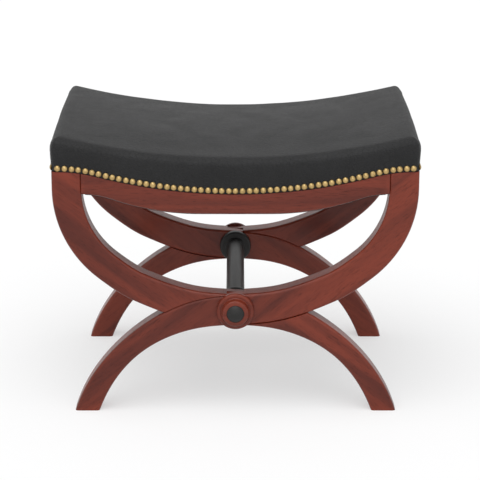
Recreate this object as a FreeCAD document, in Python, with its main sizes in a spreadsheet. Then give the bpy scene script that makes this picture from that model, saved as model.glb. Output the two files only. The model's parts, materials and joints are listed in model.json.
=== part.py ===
# Upholstered stool on two X frames, in millimetres.
# Origin: middle of the footprint on the floor. X is the width, Y the depth
# (the front faces -Y) and Z is up.
import FreeCAD, Part
import math
import os
import Sketcher

DOC = FreeCAD.newDocument("XFrameStool")
V = FreeCAD.Vector
ALONG_Y = V(0, 1, 0)
UP = V(0, 0, 1)

# Driving dimensions: alias, value, meaning
SIZES = (
    ("frame_width", 620, "over the outer faces of the arms"),
    ("frame_depth", 430, "over the outer faces of the two X frames"),
    ("show_line_height", 428, "floor to the leather's lower edge at the corners"),
    ("leg_thick", 38, "thickness of each S-shaped leg"),
    ("crossing_height", 183.5, "floor to the middle of the crossing"),
    ("crossing_width", 55, "width of a leg at the crossing"),
    ("foot_spread", 257, "middle of a foot to the middle of the stool"),
    ("ankle_width", 37, "narrowest width of a leg, above the foot"),
    ("ankle_height", 100, "floor to that narrowest place"),
    ("foot_width", 40, "width of a leg at the floor"),
    ("arm_width", 50, "width of a leg's upper part"),
    ("arm_bend_radius", 175, "middle-line radius of the upper bend"),
    ("arm_bend_height", 397, "floor to where the arm turns upright"),
    ("leg_round", 5, "rounding of a leg's long edges"),
    ("lap_trim", 15, "half the width over which a halving's feather edges are cut away"),
    ("rail_thick", 32, "thickness of the front and rear rails"),
    ("rail_drop", 40, "leather's lower edge to a rail's underside, at the corner"),
    ("top_dip", 39, "how far the leather's lower edge dips at the middle"),
    ("top_bend", 235, "middle to where that dip turns back"),
    ("top_run", 300, "middle to where that dip ends"),
    ("under_dip", 34, "how far the rail's underside dips at the middle"),
    ("under_level", 60, "half of the underside's level middle"),
    ("under_bend", 210, "middle to where the underside turns back"),
    ("side_rail_thick", 30, "thickness of the side rails"),
    ("rail_round", 7, "rounding of the front and rear rails' lower edges"),
    ("side_rail_round", 3, "rounding of the side rails' lower edges"),
    ("tacking_height", 16, "rail above the leather's lower edge, under the leather"),
    ("tacking_inset", 2.4, "set-back of the rail under the leather"),
    ("seat_corner", 10, "plan radius of the leather's upright corners"),
    ("dowel_diameter", 10, "rail dowels"),
    ("dowel_length", 44, "rail dowels"),
    ("dowel_end_play", 1, "glue room at each end of a dowel hole"),
    ("dowel_low", 27, "leather's lower edge down to the lower dowels"),
    ("dowel_pitch", 24, "lower to upper dowel"),
    ("side_dowel_drop", 4, "side rail dowels below the front rail's"),
    ("block_reach", 75, "corner block along the front rail"),
    ("block_side_reach", 60, "corner block along the side rail"),
    ("block_height", 30, "corner block"),
    ("block_drop", 32, "leather's lower edge down to a corner block's underside"),
    ("screw_head", 8.4, "corner block screws, head diameter"),
    ("screw_shank", 4.2, "corner block screws, shank diameter"),
    ("screw_length", 42, "corner block screws"),
    ("screw_sink", 5, "depth of a screw head in its block"),
    ("screw_inset", 30, "screws from the inner corner of the rails"),
    ("stretcher_diameter", 32, "turned rod between the X frames"),
    ("collar_diameter", 58, "turned collars at both ends of the rod"),
    ("collar_thick", 13, "collar, along the rod"),
    ("collar_round", 5, "rounding of the collars"),
    ("tenon_diameter", 20, "rod's ends through the crossings"),
    ("tenon_reach", 10, "rod's ends past the crossing, into the boss"),
    ("tenon_room", 0.05, "radial clearance of the rod's ends"),
    ("boss_diameter", 64, "turned boss on each crossing"),
    ("boss_rim", 9, "thickness of the boss at its rim"),
    ("boss_height", 21, "full height of the boss"),
    ("boss_neck_diameter", 46, "raised middle of the boss"),
    ("boss_round", 4, "rounding of the boss"),
    ("button_diameter", 30, "black button in the boss"),
    ("button_seat", 4, "depth of the button's seat"),
    ("button_proud", 6, "how far the button stands out of the boss"),
    ("button_round", 5.4, "rounding of the button's face"),
    ("webbing_width", 50, "each webbing strap"),
    ("webbing_thick", 1.8, "each webbing strap"),
    ("webbing_count", 8, "number of straps"),
    ("webbing_pitch", 60, "strap to strap"),
    ("webbing_inset", 8, "strap's end from the rail's outer face"),
    ("hessian_thick", 1, "cloth over the webbing"),
    ("hessian_inset", 7, "cloth's edge from the rail's outer face"),
    ("leather_thick", 1.6, "cover"),
    ("leather_inset", 0.4, "cover's outer face behind the frame's outer face"),
    ("cover_room", 0.3, "cover to padding, and hem to show-wood ledge"),
    ("seat_middle_height", 451, "floor to the seat's front edge at the middle"),
    ("seat_sweep_radius", 1250, "radius of the seat's dip, seen from the front"),
    ("seat_crown", 7, "rise of the seat from its edge to its middle"),
    ("seat_edge_round", 14, "rounding of the front and rear top edges"),
    ("seat_end_round", 20, "rounding of the left and right top edges"),
    ("seat_end_lift", 0.3, "how far the swept top would pass over the crown"),
    ("nail_head", 11, "domed upholstery nails, head diameter"),
    ("nail_dome", 3.6, "height of a nail's dome"),
    ("nail_pitch", 11.7, "nail to nail"),
    ("nail_shank", 1.8, "side of a nail's square shank"),
    ("nail_length", 13, "nail's shank"),
    ("nail_line", 6.2, "leather's lower edge up to the nails' middles"),
    ("tack_head", 7, "webbing and dust-cover tacks, head diameter"),
    ("tack_head_thick", 0.8, "tack's head"),
    ("tack_shank", 1.6, "side of a tack's square shank"),
    ("tack_length", 11, "tack's shank"),
    ("dust_cover_thick", 0.8, "cloth under the seat"),
    ("dust_cover_inset", 8, "cloth's edge from the rail's outer face"),
    ("dust_tack_pitch", 40, "tack to tack under the seat"),
)


def make_sheet():
    sheet = DOC.addObject("Spreadsheet::Sheet", "Sizes")
    for row, (alias, value, meaning) in enumerate(SIZES, start=1):
        sheet.set("A%d" % row, alias)
        sheet.set("B%d" % row, str(value))
        sheet.set("C%d" % row, meaning)
        sheet.setAlias("B%d" % row, alias)
    DOC.recompute()
    return sheet


SHEET = make_sheet()
PIECES = {}

# Lengths closer than this are the same
NEAR = 1e-3


def size(alias):
    return float(SHEET.get(alias))


def feature(kind, label, **values):
    item = DOC.addObject(kind, label)
    item.Label = label
    for name, value in values.items():
        setattr(item, name, value)
    return item


def bind(item, formulas):
    for path, formula in formulas.items():
        item.setExpression(path, formula)
    return item


def fixed_shape(label, shape, place=None):
    item = feature("Part::Feature", label, Shape=shape)
    item.Placement = place or FreeCAD.Placement()
    return item


def piece(label, item):
    item.Label = label
    PIECES[label] = item
    return item


def cut(label, base, *tools):
    result = base
    for number, tool in enumerate(tools, start=1):
        result = feature("Part::Cut", "%s_cut_%d" % (label, number), Base=result, Tool=tool)
    return result


def common(label, *items):
    return feature("Part::MultiCommon", label, Shapes=list(items))


def mirrored(label, source, normal):
    return feature("Part::Mirroring", label, Source=source, Base=V(0, 0, 0), Normal=normal)


def box(label, formulas):
    """A box whose sizes and corner are formulas on the sheet."""
    return bind(feature("Part::Box", label), formulas)


def middle_box(label, length, width, height, bottom):
    """A box centred on X and Y; every argument is a formula."""
    return box(label, {
        "Length": length,
        "Width": width,
        "Height": height,
        "Placement.Base.x": "-(%s) / 2" % length,
        "Placement.Base.y": "-(%s) / 2" % width,
        "Placement.Base.z": bottom,
    })


def plane_point(x, z):
    return V(x, 0, z)


def line(start, end):
    return Part.LineSegment(start, end).toShape()


def arc(start, middle, end):
    return Part.Arc(start, middle, end).toShape()


def face(edges):
    return Part.Face(Part.Wire(Part.__sortEdges__(edges)))


def blend(start, end, share):
    """Goes smoothly from start to end as share goes from 0 to 1."""
    share = min(max(share, 0.0), 1.0)
    return start + (end - start) * (1 - math.cos(math.pi * share)) / 2


def round_edges(label, item, radius, wanted):
    """Fillets the edges of item that the test wanted picks."""
    DOC.recompute()
    picked = [n for n, edge in enumerate(item.Shape.Edges, start=1) if wanted(edge)]
    return feature("Part::Fillet", label, Base=item, Edges=[(n, radius, radius) for n in picked])


# Dipping lines of the seat, seen from the front

class DipLine:
    """Level beyond run, it dips to the middle on two arcs a side, reversed at bend."""

    def __init__(self, end_height, dip, bend, run, level=0.0):
        self.end_height = end_height
        self.low_height = end_height - dip
        self.bend = bend
        self.run = run
        self.level = level
        turn = 2 * math.atan(dip / (run - level))
        self.middle_radius = (bend - level) / math.sin(turn)
        self.end_radius = (run - bend) / math.sin(turn)

    def height(self, x):
        x = abs(x)
        if x >= self.run:
            return self.end_height
        if x > self.bend:
            left = self.run - x
            return self.end_height - self.end_radius + math.sqrt(self.end_radius ** 2 - left ** 2)
        along = max(x - self.level, 0.0)
        return self.low_height + self.middle_radius - math.sqrt(self.middle_radius ** 2 - along ** 2)

    def point(self, x, lift=0.0):
        return plane_point(x, self.height(x) + lift)

    def edges(self, half_width, lift=0.0):
        """The line from -half_width to half_width, past the run, raised by lift."""
        edges = []
        for side in (-1, 1):
            for start, end in ((self.level, self.bend), (self.bend, self.run)):
                places = (side * start, side * (start + end) / 2, side * end)
                edges.append(arc(*[self.point(x, lift) for x in places]))
            edges.append(line(self.point(side * self.run, lift), self.point(side * half_width, lift)))
        if self.level:
            edges.append(line(self.point(-self.level, lift), self.point(self.level, lift)))
        return edges

    def band(self, half_width, low, high):
        """The face between this line raised by low and by high."""
        return face(self.edges(half_width, low) + self.edges(half_width, high) + [
            line(self.point(side, low), self.point(side, high)) for side in (-half_width, half_width)
        ])

    def walk(self, reach, pitch):
        """Evenly spaced x places along the line, from -reach to reach."""
        step = 1.0
        count = int(2 * reach / step)
        places = [-reach + 2 * reach * n / count for n in range(count + 1)]
        lengths = [0.0]
        for here, following in zip(places, places[1:]):
            rise = self.height(following) - self.height(here)
            lengths.append(lengths[-1] + math.hypot(following - here, rise))
        gaps = round(lengths[-1] / pitch)
        walked = []
        for gap in range(gaps + 1):
            wanted = lengths[-1] * gap / gaps
            after = next(n for n, length in enumerate(lengths) if length >= wanted - 1e-6)
            walked.append(places[after])
        return walked


ARM_INSIDE = size("frame_width") / 2 - size("arm_width")
SHOW_LINE = DipLine(size("show_line_height"), size("top_dip"), size("top_bend"), size("top_run"))
UNDER_LINE = DipLine(
    size("show_line_height") - size("rail_drop"),
    size("under_dip"), size("under_bend"), ARM_INSIDE, size("under_level"),
)


def band_along_y(label, dip_line, half_width, low, high, depth):
    """A sheet or rail blank that follows a dipping line, depth along Y, centred."""
    profile = fixed_shape(label + "_profile", dip_line.band(half_width, low, high))
    blank = feature("Part::Extrusion", label, Base=profile, Dir=ALONG_Y, Solid=True, Symmetric=True)
    blank.DirMode = "Custom"
    return bind(blank, {"LengthFwd": depth})


# Rounded upright prism that the seat and its tacking edge share

def seat_prism(label, inset):
    """An upright block with rounded corners, inset from the frame's outer faces."""
    block = middle_box(
        label + "_block",
        "Sizes.frame_width - 2 * (%s)" % inset,
        "Sizes.frame_depth - 2 * (%s)" % inset,
        "Sizes.show_line_height",
        "Sizes.show_line_height / 2",
    )
    DOC.recompute()
    outside = (size("frame_width") - block.Length.Value) / 2
    return round_edges(label, block, size("seat_corner") - outside, is_upright)


def is_upright(edge):
    return edge.BoundBox.XLength < NEAR and edge.BoundBox.YLength < NEAR


def tacking_cutter():
    """All above the tacking edge, and all above the show line outside that edge."""
    half = size("frame_width") / 2 + size("leg_thick")
    high = size("show_line_height") / 2
    depth = "Sizes.frame_depth + 2 * Sizes.leg_thick"
    over_show_line = band_along_y("over_show_line", SHOW_LINE, half, 0, high, depth)
    over_edge = band_along_y("over_edge", SHOW_LINE, half, size("tacking_height"), high, depth)
    outside = cut("outside_edge", over_show_line, seat_prism("tacking_edge", "Sizes.tacking_inset"))
    return feature("Part::MultiFuse", "tacking_cutter", Shapes=[outside, over_edge])


# S-shaped legs: foot on one side, arm on the other

class LegLine:
    """Middle line of a leg whose foot is at -X and whose arm is at +X."""

    def __init__(self):
        self.crossing = size("crossing_height")
        spread = size("foot_spread")
        self.leg_radius = (spread ** 2 + self.crossing ** 2) / (2 * self.crossing)
        self.foot_angle = math.asin(spread / self.leg_radius)
        above_centre = size("ankle_height") - self.crossing + self.leg_radius
        self.ankle_angle = math.acos(above_centre / self.leg_radius)
        self.bend_radius = size("arm_bend_radius")
        self.bend_x = size("frame_width") / 2 - size("arm_width") / 2 - self.bend_radius
        self.bend_z = size("arm_bend_height")
        rise = self.bend_z - self.crossing
        reach = self.bend_x ** 2 + rise ** 2 - self.bend_radius ** 2
        self.arm_radius = reach / (2 * (rise - self.bend_radius))
        self.arm_angle = math.atan2(self.bend_x, self.arm_radius - rise)

    def leg_width(self, angle):
        if angle < self.ankle_angle:
            return blend(size("crossing_width"), size("ankle_width"), angle / self.ankle_angle)
        share = (angle - self.ankle_angle) / (self.foot_angle - self.ankle_angle)
        return blend(size("ankle_width"), size("foot_width"), share)

    def leg_point(self, angle, side):
        """side is 1 on the outer edge and -1 on the arch's edge."""
        radius = self.leg_radius + side * self.leg_width(angle) / 2
        centre = self.crossing - self.leg_radius
        return plane_point(-radius * math.sin(angle), centre + radius * math.cos(angle))

    def arm_point(self, angle, side):
        """side is 1 on the outer, lower edge and -1 on the inner edge."""
        width = blend(size("crossing_width"), size("arm_width"), angle / self.arm_angle)
        radius = self.arm_radius + side * width / 2
        centre = self.crossing + self.arm_radius
        return plane_point(radius * math.sin(angle), centre - radius * math.cos(angle))

    def bend_point(self, angle, side):
        radius = self.bend_radius + side * size("arm_width") / 2
        return plane_point(self.bend_x + radius * math.sin(angle), self.bend_z - radius * math.cos(angle))

    def spline(self, side):
        """One long edge, from a foot's width below the floor to the start of the upper bend."""
        leg_end = self.foot_angle + size("foot_width") / self.leg_radius
        leg_steps = 6
        arm_steps = 3
        points = [self.leg_point(leg_end * n / leg_steps, side) for n in range(leg_steps, 0, -1)]
        points += [self.arm_point(self.arm_angle * n / arm_steps, -side) for n in range(arm_steps + 1)]
        curve = Part.BSplineCurve()
        curve.interpolate(
            Points=points,
            InitialTangent=plane_point(math.cos(leg_end), math.sin(leg_end)),
            FinalTangent=plane_point(math.cos(self.arm_angle), math.sin(self.arm_angle)),
        )
        return curve.toShape()

    def outline(self):
        top = size("show_line_height") + size("tacking_height")
        upright = math.pi / 2
        half_way = (self.arm_angle + upright) / 2
        edges = []
        ends = []
        feet = []
        for side in (1, -1):
            long_edge = self.spline(-side)
            start = self.bend_point(self.arm_angle, side)
            end = self.bend_point(upright, side)
            edges.append(long_edge)
            edges.append(arc(start, self.bend_point(half_way, side), end))
            edges.append(line(end, plane_point(end.x, top)))
            ends.append(plane_point(end.x, top))
            feet.append(long_edge.Vertexes[0].Point)
        edges.append(line(*ends))
        edges.append(line(*feet))
        return face(edges)


def leg_blank(label, outline, thick, start):
    """The leg's outline made thick along +Y from start, cut level at the floor."""
    blank = feature("Part::Extrusion", label + "_blank", Base=outline, Dir=ALONG_Y, Solid=True)
    blank.DirMode = "Custom"
    bind(blank, {"LengthFwd": thick, "Placement.Base.y": start})
    floor = middle_box(
        label + "_room", "2 * Sizes.frame_width", "2 * Sizes.frame_depth",
        "2 * Sizes.show_line_height", "0",
    )
    return common(label, blank, floor)


def is_long_leg_edge(edge):
    """Runs along the leg on its front or rear face, and isn't its foot or its top."""
    box_of = edge.BoundBox
    return box_of.YLength < NEAR and box_of.ZLength > NEAR


def half_lap(label, outline, start):
    """What one leg gives up to the other: half its thickness from start, without feather edges."""
    lap = leg_blank(label + "_outline", outline, "Sizes.leg_thick / 2", start)
    height = "(Sizes.crossing_width + 2 * Sizes.leg_round)"
    trim = box(label + "_trim", {
        "Length": "2 * Sizes.lap_trim",
        "Width": "Sizes.leg_thick / 2",
        "Height": height,
        "Placement.Base.x": "-Sizes.lap_trim",
        "Placement.Base.y": start,
        "Placement.Base.z": "Sizes.crossing_height - %s / 2" % height,
    })
    return feature("Part::MultiFuse", label + "_lap", Shapes=[lap, trim])


def make_legs(cutter, dowel_holes):
    """Front pair, halved into each other, and its mirror at the rear."""
    leg_line = LegLine()
    left_outline = fixed_shape("left_foot_outline", leg_line.outline())
    right_outline = mirrored("right_foot_outline", left_outline, V(1, 0, 0))
    front = "-Sizes.frame_depth / 2"
    middle = "-Sizes.frame_depth / 2 + Sizes.leg_thick / 2"
    laps = {
        "left": half_lap("rear_half", right_outline, middle),
        "right": half_lap("front_half", left_outline, front),
    }
    outlines = {"left": left_outline, "right": right_outline}
    bore = feature("Part::Cylinder", "crossing_bore")
    bore.Placement = FreeCAD.Placement(V(0, 0, 0), FreeCAD.Rotation(V(1, 0, 0), 90))
    bind(bore, {
        "Radius": "Sizes.tenon_diameter / 2 + Sizes.tenon_room",
        "Height": "2 * Sizes.frame_depth",
        "Placement.Base.y": "Sizes.frame_depth",
        "Placement.Base.z": "Sizes.crossing_height",
    })
    for side, outline in outlines.items():
        full = leg_blank(side + "_leg_full", outline, "Sizes.leg_thick", front)
        rounded = round_edges(side + "_leg_rounded", full, size("leg_round"), is_long_leg_edge)
        shaped = cut("front_leg_" + side, rounded, laps[side], bore, cutter, dowel_holes)
        piece("front_leg_" + side, shaped)
        piece("rear_leg_" + side, mirrored("rear_leg_" + side, shaped, ALONG_Y))


# Seat rails

def is_lower_rail_edge(edge):
    """Runs along the rail's front or rear face at its underside."""
    box_of = edge.BoundBox
    low = box_of.ZMax < UNDER_LINE.end_height + NEAR
    return box_of.YLength < NEAR and box_of.XLength > NEAR and low


def make_front_and_rear_rails(cutter, dowel_holes):
    half = size("frame_width") / 2
    lift = size("tacking_height")
    edges = UNDER_LINE.edges(half) + SHOW_LINE.edges(half, lift)
    for side in (-half, half):
        edges.append(line(UNDER_LINE.point(side), SHOW_LINE.point(side, lift)))
    profile = fixed_shape("dipped_rail_profile", face(edges))
    plank = feature("Part::Extrusion", "front_rail_plank", Base=profile, Dir=ALONG_Y, Solid=True)
    plank.DirMode = "Custom"
    bind(plank, {"LengthFwd": "Sizes.rail_thick", "Placement.Base.y": "-Sizes.frame_depth / 2"})
    between_arms = middle_box(
        "front_rail_room", "Sizes.frame_width - 2 * Sizes.arm_width", "Sizes.frame_depth",
        "2 * Sizes.show_line_height", "0",
    )
    blank = common("front_rail_blank", plank, between_arms)
    rounded = round_edges("front_rail_rounded", blank, size("rail_round"), is_lower_rail_edge)
    shaped = cut("front_seat_rail", rounded, cutter, dowel_holes)
    piece("front_seat_rail", shaped)
    piece("rear_seat_rail", mirrored("rear_seat_rail", shaped, ALONG_Y))


def make_side_rails(cutter, dowel_holes):
    blank = box("right_rail_blank", {
        "Length": "Sizes.side_rail_thick",
        "Width": "Sizes.frame_depth - 2 * Sizes.leg_thick",
        "Height": "Sizes.rail_drop + Sizes.tacking_height",
        "Placement.Base.x": "Sizes.frame_width / 2 - Sizes.side_rail_thick",
        "Placement.Base.y": "-Sizes.frame_depth / 2 + Sizes.leg_thick",
        "Placement.Base.z": "Sizes.show_line_height - Sizes.rail_drop",
    })
    low = size("show_line_height") - size("rail_drop")

    def is_lower_edge(edge):
        return edge.BoundBox.ZMax < low + NEAR and edge.BoundBox.YLength > NEAR

    rounded = round_edges("right_rail_rounded", blank, size("side_rail_round"), is_lower_edge)
    shaped = cut("right_seat_rail", rounded, cutter, dowel_holes)
    piece("right_seat_rail", shaped)
    piece("left_seat_rail", mirrored("left_seat_rail", shaped, V(1, 0, 0)))


# Dowels, and the slightly longer holes that take them

def dowel_places():
    """Group name, middle and axis of each dowel in the frame."""
    rail_middle = size("frame_depth") / 2 - size("rail_thick") / 2
    leg_inside = size("frame_depth") / 2 - size("leg_thick")
    side_middle = size("frame_width") / 2 - size("side_rail_thick") / 2
    lowest = size("show_line_height") - size("dowel_low")
    for level in (lowest, lowest + size("dowel_pitch")):
        for side in (-1, 1):
            for end, group in ((-1, "front_rail_dowels"), (1, "rear_rail_dowels")):
                yield group, V(side * ARM_INSIDE, end * rail_middle, level), V(1, 0, 0)
                across = V(side * side_middle, end * leg_inside, level - size("side_dowel_drop"))
                yield "side_rail_dowels", across, ALONG_Y


def dowel(middle, axis, length, radius):
    return Part.makeCylinder(radius, length, middle - axis * (length / 2), axis)


def make_dowels():
    length = size("dowel_length")
    radius = size("dowel_diameter") / 2
    groups = {}
    holes = []
    for group, middle, axis in dowel_places():
        stick = dowel(middle, axis, length, radius)
        groups.setdefault(group, []).append(stick)
        holes.append(dowel(middle, axis, length + 2 * size("dowel_end_play"), radius))
    for group, sticks in groups.items():
        piece(group, fixed_shape(group, Part.makeCompound(sticks)))
    return fixed_shape("dowel_holes", Part.makeCompound(holes))


# Sketches whose corners are formulas on the sheet

ORIGIN_POINT = -1
START = 1
END = 2

# Corners start on a circle of this size, and their formulas then move them
ROUGH_RADIUS = 10


def polygon_sketch(body, label, plane_role, corners):
    """A closed outline; each corner is a pair of formulas, measured from the origin."""
    sketch = body.newObject("Sketcher::SketchObject", label)
    plane = next(item for item in body.Origin.OriginFeatures if item.Role == plane_role)
    sketch.AttachmentSupport = [(plane, "")]
    sketch.MapMode = "FlatFace"
    count = len(corners)
    turns = [2 * math.pi * n / count for n in range(count)]
    rough = [V(math.cos(turn), math.sin(turn), 0) * ROUGH_RADIUS for turn in turns]
    for n in range(count):
        sketch.addGeometry(Part.LineSegment(rough[n], rough[(n + 1) % count]), False)
    for n in range(count):
        sketch.addConstraint(Sketcher.Constraint("Coincident", n, END, (n + 1) % count, START))
    for n, pair in enumerate(corners):
        for kind, formula in zip(("DistanceX", "DistanceY"), pair):
            rule = Sketcher.Constraint(kind, ORIGIN_POINT, START, n, START, 1.0)
            index = sketch.addConstraint(rule)
            sketch.setExpression("Constraints[%d]" % index, formula)
    return sketch


def turned_body(label, corners):
    """A turned piece: corners are (radius, place along the axis) pairs of formulas."""
    body = feature("PartDesign::Body", label + "_body")
    sketch = polygon_sketch(body, label + "_profile", "XZ_Plane", corners)
    DOC.recompute()
    turning = body.newObject("PartDesign::Revolution", label + "_turning")
    turning.Profile = sketch
    turning.ReferenceAxis = (sketch, ["V_Axis"])
    turning.Angle = 360
    DOC.recompute()
    return body


def rim_fillet(body, label, radius, wanted):
    """Rounds the circular edges of a turned piece that the test wanted picks."""
    solid = body.Tip
    names = ["Edge%d" % n for n, edge in enumerate(solid.Shape.Edges, start=1) if wanted(edge)]
    rounding = body.newObject("PartDesign::Fillet", label)
    rounding.Base = (solid, names)
    rounding.setExpression("Radius", radius)
    body.Tip = rounding
    DOC.recompute()


def is_circle(edge, radius, place):
    """A full circle of this radius, at this place along the turned piece's own axis."""
    curve = edge.Curve
    if not isinstance(curve, Part.Circle):
        return False
    return abs(curve.Radius - radius) < NEAR and abs(curve.Center.z - place) < NEAR


# Corner blocks and their screws

def make_corner_blocks(screws):
    body = feature("PartDesign::Body", "corner_block_body")
    inner_x = "Sizes.frame_width / 2 - Sizes.side_rail_thick"
    inner_y = "Sizes.frame_depth / 2 - Sizes.rail_thick"
    arm_x = "Sizes.frame_width / 2 - Sizes.arm_width"
    leg_y = "Sizes.frame_depth / 2 - Sizes.leg_thick"
    corners = (
        (inner_x, leg_y),
        (inner_x, inner_y + " - Sizes.block_side_reach"),
        (inner_x + " - Sizes.block_reach", inner_y),
        (arm_x, inner_y),
        (arm_x, leg_y),
    )
    sketch = polygon_sketch(body, "corner_block_outline", "XY_Plane", corners)
    DOC.recompute()
    pad = body.newObject("PartDesign::Pad", "corner_block_pad")
    pad.Profile = sketch
    pad.setExpression("Length", "Sizes.block_height")
    bind(body, {"Placement.Base.z": "Sizes.show_line_height - Sizes.block_drop"})
    DOC.recompute()
    rear_right = piece("corner_block_rear_right", cut("corner_block", body, screws))
    front_right = mirrored("corner_block_front_right", rear_right, ALONG_Y)
    piece("corner_block_front_right", front_right)
    piece("corner_block_rear_left", mirrored("corner_block_rear_left", rear_right, V(1, 0, 0)))
    piece("corner_block_front_left", mirrored("corner_block_front_left", front_right, V(1, 0, 0)))


def screw(head, axis):
    """A countersunk screw whose head lies at head; it points along axis."""
    radius = size("screw_head") / 2
    shank = size("screw_shank") / 2
    cone_height = radius - shank
    cone = Part.makeCone(radius, shank, cone_height, head, axis)
    return cone.fuse(Part.makeCylinder(shank, size("screw_length"), head, axis)).removeSplitter()


def screw_place(along_front):
    """Head and axis of one screw of the rear right block."""
    corner = V(
        size("frame_width") / 2 - size("side_rail_thick"),
        size("frame_depth") / 2 - size("rail_thick"),
        size("show_line_height") - size("block_drop") + size("block_height") / 2,
    )
    slope = size("block_side_reach") / size("block_reach")
    inset = size("screw_inset")
    sink = size("screw_sink")
    if along_front:
        depth = size("block_side_reach") - inset * slope
        return corner + V(-inset, -depth + sink, 0), ALONG_Y
    depth = size("block_reach") - inset / slope
    return corner + V(-depth + sink, -inset, 0), V(1, 0, 0)


def make_screws():
    """Two screws for each of the four blocks, and the holes that take them."""
    screws = []
    holes = []
    for along_front in (True, False):
        head, axis = screw_place(along_front)
        driven = screw(head, axis)
        way_in = Part.makeCylinder(size("screw_head") / 2, 2 * size("screw_sink"), head, -axis)
        for across in (False, True):
            for back in (False, True):
                for shapes, shape in ((screws, driven), (holes, driven.fuse(way_in))):
                    placed = shape
                    if across:
                        placed = placed.mirror(V(0, 0, 0), V(1, 0, 0))
                    if back:
                        placed = placed.mirror(V(0, 0, 0), ALONG_Y)
                    shapes.append(placed)
    piece("corner_block_screws", fixed_shape("corner_block_screws", Part.makeCompound(screws)))
    return fixed_shape("screw_holes", Part.makeCompound(holes))


# Turned stretcher, bosses and their buttons

def make_stretcher():
    inside = "Sizes.frame_depth / 2 - Sizes.leg_thick"
    tip = "Sizes.frame_depth / 2 + Sizes.tenon_reach"
    rod = "Sizes.stretcher_diameter / 2"
    collar = "Sizes.collar_diameter / 2"
    tenon = "Sizes.tenon_diameter / 2"
    half = [
        (rod, inside + " - Sizes.collar_thick"),
        (collar, inside + " - Sizes.collar_thick"),
        (collar, inside),
        (tenon, inside),
        (tenon, tip),
        ("0", tip),
    ]
    other_half = [(radius, "-(%s)" % place) for radius, place in reversed(half)]
    body = turned_body("stretcher", other_half + half)
    shoulder = size("frame_depth") / 2 - size("leg_thick")
    inner_edge = shoulder - size("collar_thick")
    outer = size("collar_diameter") / 2

    def is_collar_rim(edge):
        return is_circle(edge, outer, inner_edge) or is_circle(edge, outer, -inner_edge)

    def is_collar_foot(edge):
        foot = size("stretcher_diameter") / 2
        return is_circle(edge, foot, inner_edge) or is_circle(edge, foot, -inner_edge)

    rim_fillet(body, "collar_rims", "Sizes.collar_round", is_collar_rim)
    rim_fillet(body, "collar_feet", "Sizes.collar_round", is_collar_foot)
    lay_along_y(body, "Sizes.crossing_height")
    piece("stretcher", body)


def lay_along_y(body, height, start="0"):
    """Turns a piece made along Z so that it points at the front, -Y."""
    body.Placement = FreeCAD.Placement(V(0, 0, 0), FreeCAD.Rotation(V(1, 0, 0), 90))
    bind(body, {"Placement.Base.y": start, "Placement.Base.z": height})


def make_bosses():
    rim = "Sizes.boss_diameter / 2"
    neck = "Sizes.boss_neck_diameter / 2"
    seat = "Sizes.button_diameter / 2"
    seat_floor = "Sizes.boss_height - Sizes.button_seat"
    bore = "Sizes.tenon_diameter / 2 + Sizes.tenon_room"
    bore_end = "Sizes.tenon_reach"
    corners = (
        (bore, "0"),
        (rim, "0"),
        (rim, "Sizes.boss_rim"),
        (neck, "Sizes.boss_rim"),
        (neck, "Sizes.boss_height"),
        (seat, "Sizes.boss_height"),
        (seat, seat_floor),
        ("0", seat_floor),
        ("0", bore_end),
        (bore, bore_end),
    )
    body = turned_body("boss", corners)

    def is_outer_rim(edge):
        on_rim = is_circle(edge, size("boss_diameter") / 2, size("boss_rim"))
        return on_rim or is_circle(edge, size("boss_neck_diameter") / 2, size("boss_height"))

    def is_cove(edge):
        return is_circle(edge, size("boss_neck_diameter") / 2, size("boss_rim"))

    rim_fillet(body, "boss_rims", "Sizes.boss_round", is_outer_rim)
    rim_fillet(body, "boss_cove", "Sizes.boss_round", is_cove)
    lay_along_y(body, "Sizes.crossing_height", "-Sizes.frame_depth / 2")
    piece("front_boss", body)
    piece("rear_boss", mirrored("rear_boss", body, ALONG_Y))


def make_buttons():
    seat = "Sizes.button_diameter / 2"
    top = "Sizes.button_seat + Sizes.button_proud"
    corners = (("0", "0"), (seat, "0"), (seat, top), ("0", top))
    body = turned_body("button", corners)

    def is_face_edge(edge):
        height = size("button_seat") + size("button_proud")
        return is_circle(edge, size("button_diameter") / 2, height)

    rim_fillet(body, "button_dome", "Sizes.button_round", is_face_edge)
    face_of_seat = "-Sizes.frame_depth / 2 - Sizes.boss_height + Sizes.button_seat"
    lay_along_y(body, "Sizes.crossing_height", face_of_seat)
    piece("front_button", body)
    piece("rear_button", mirrored("rear_button", body, ALONG_Y))


# Seat: straps, cloth, padding and leather

def make_webbing(tacks):
    thick = size("webbing_thick")
    low = size("tacking_height")
    half = size("frame_width") / 2
    depth = "Sizes.frame_depth - 2 * Sizes.webbing_inset"
    sheet = band_along_y("webbing_sheet", SHOW_LINE, half, low, low + thick, depth)
    lanes = []
    for number, x in enumerate(strap_places()):
        lane = Part.makeBox(
            size("webbing_width"), size("frame_depth"), size("show_line_height"),
            V(x - size("webbing_width") / 2, -size("frame_depth") / 2, size("show_line_height") / 2),
        )
        lanes.append(lane)
    lane_group = fixed_shape("webbing_lanes", Part.makeCompound(lanes))
    straps = common("webbing_straps_whole", sheet, lane_group)
    piece("webbing_straps", cut("webbing_straps", straps, tacks))


def strap_places():
    count = int(size("webbing_count"))
    return [(n - (count - 1) / 2) * size("webbing_pitch") for n in range(count)]


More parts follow.
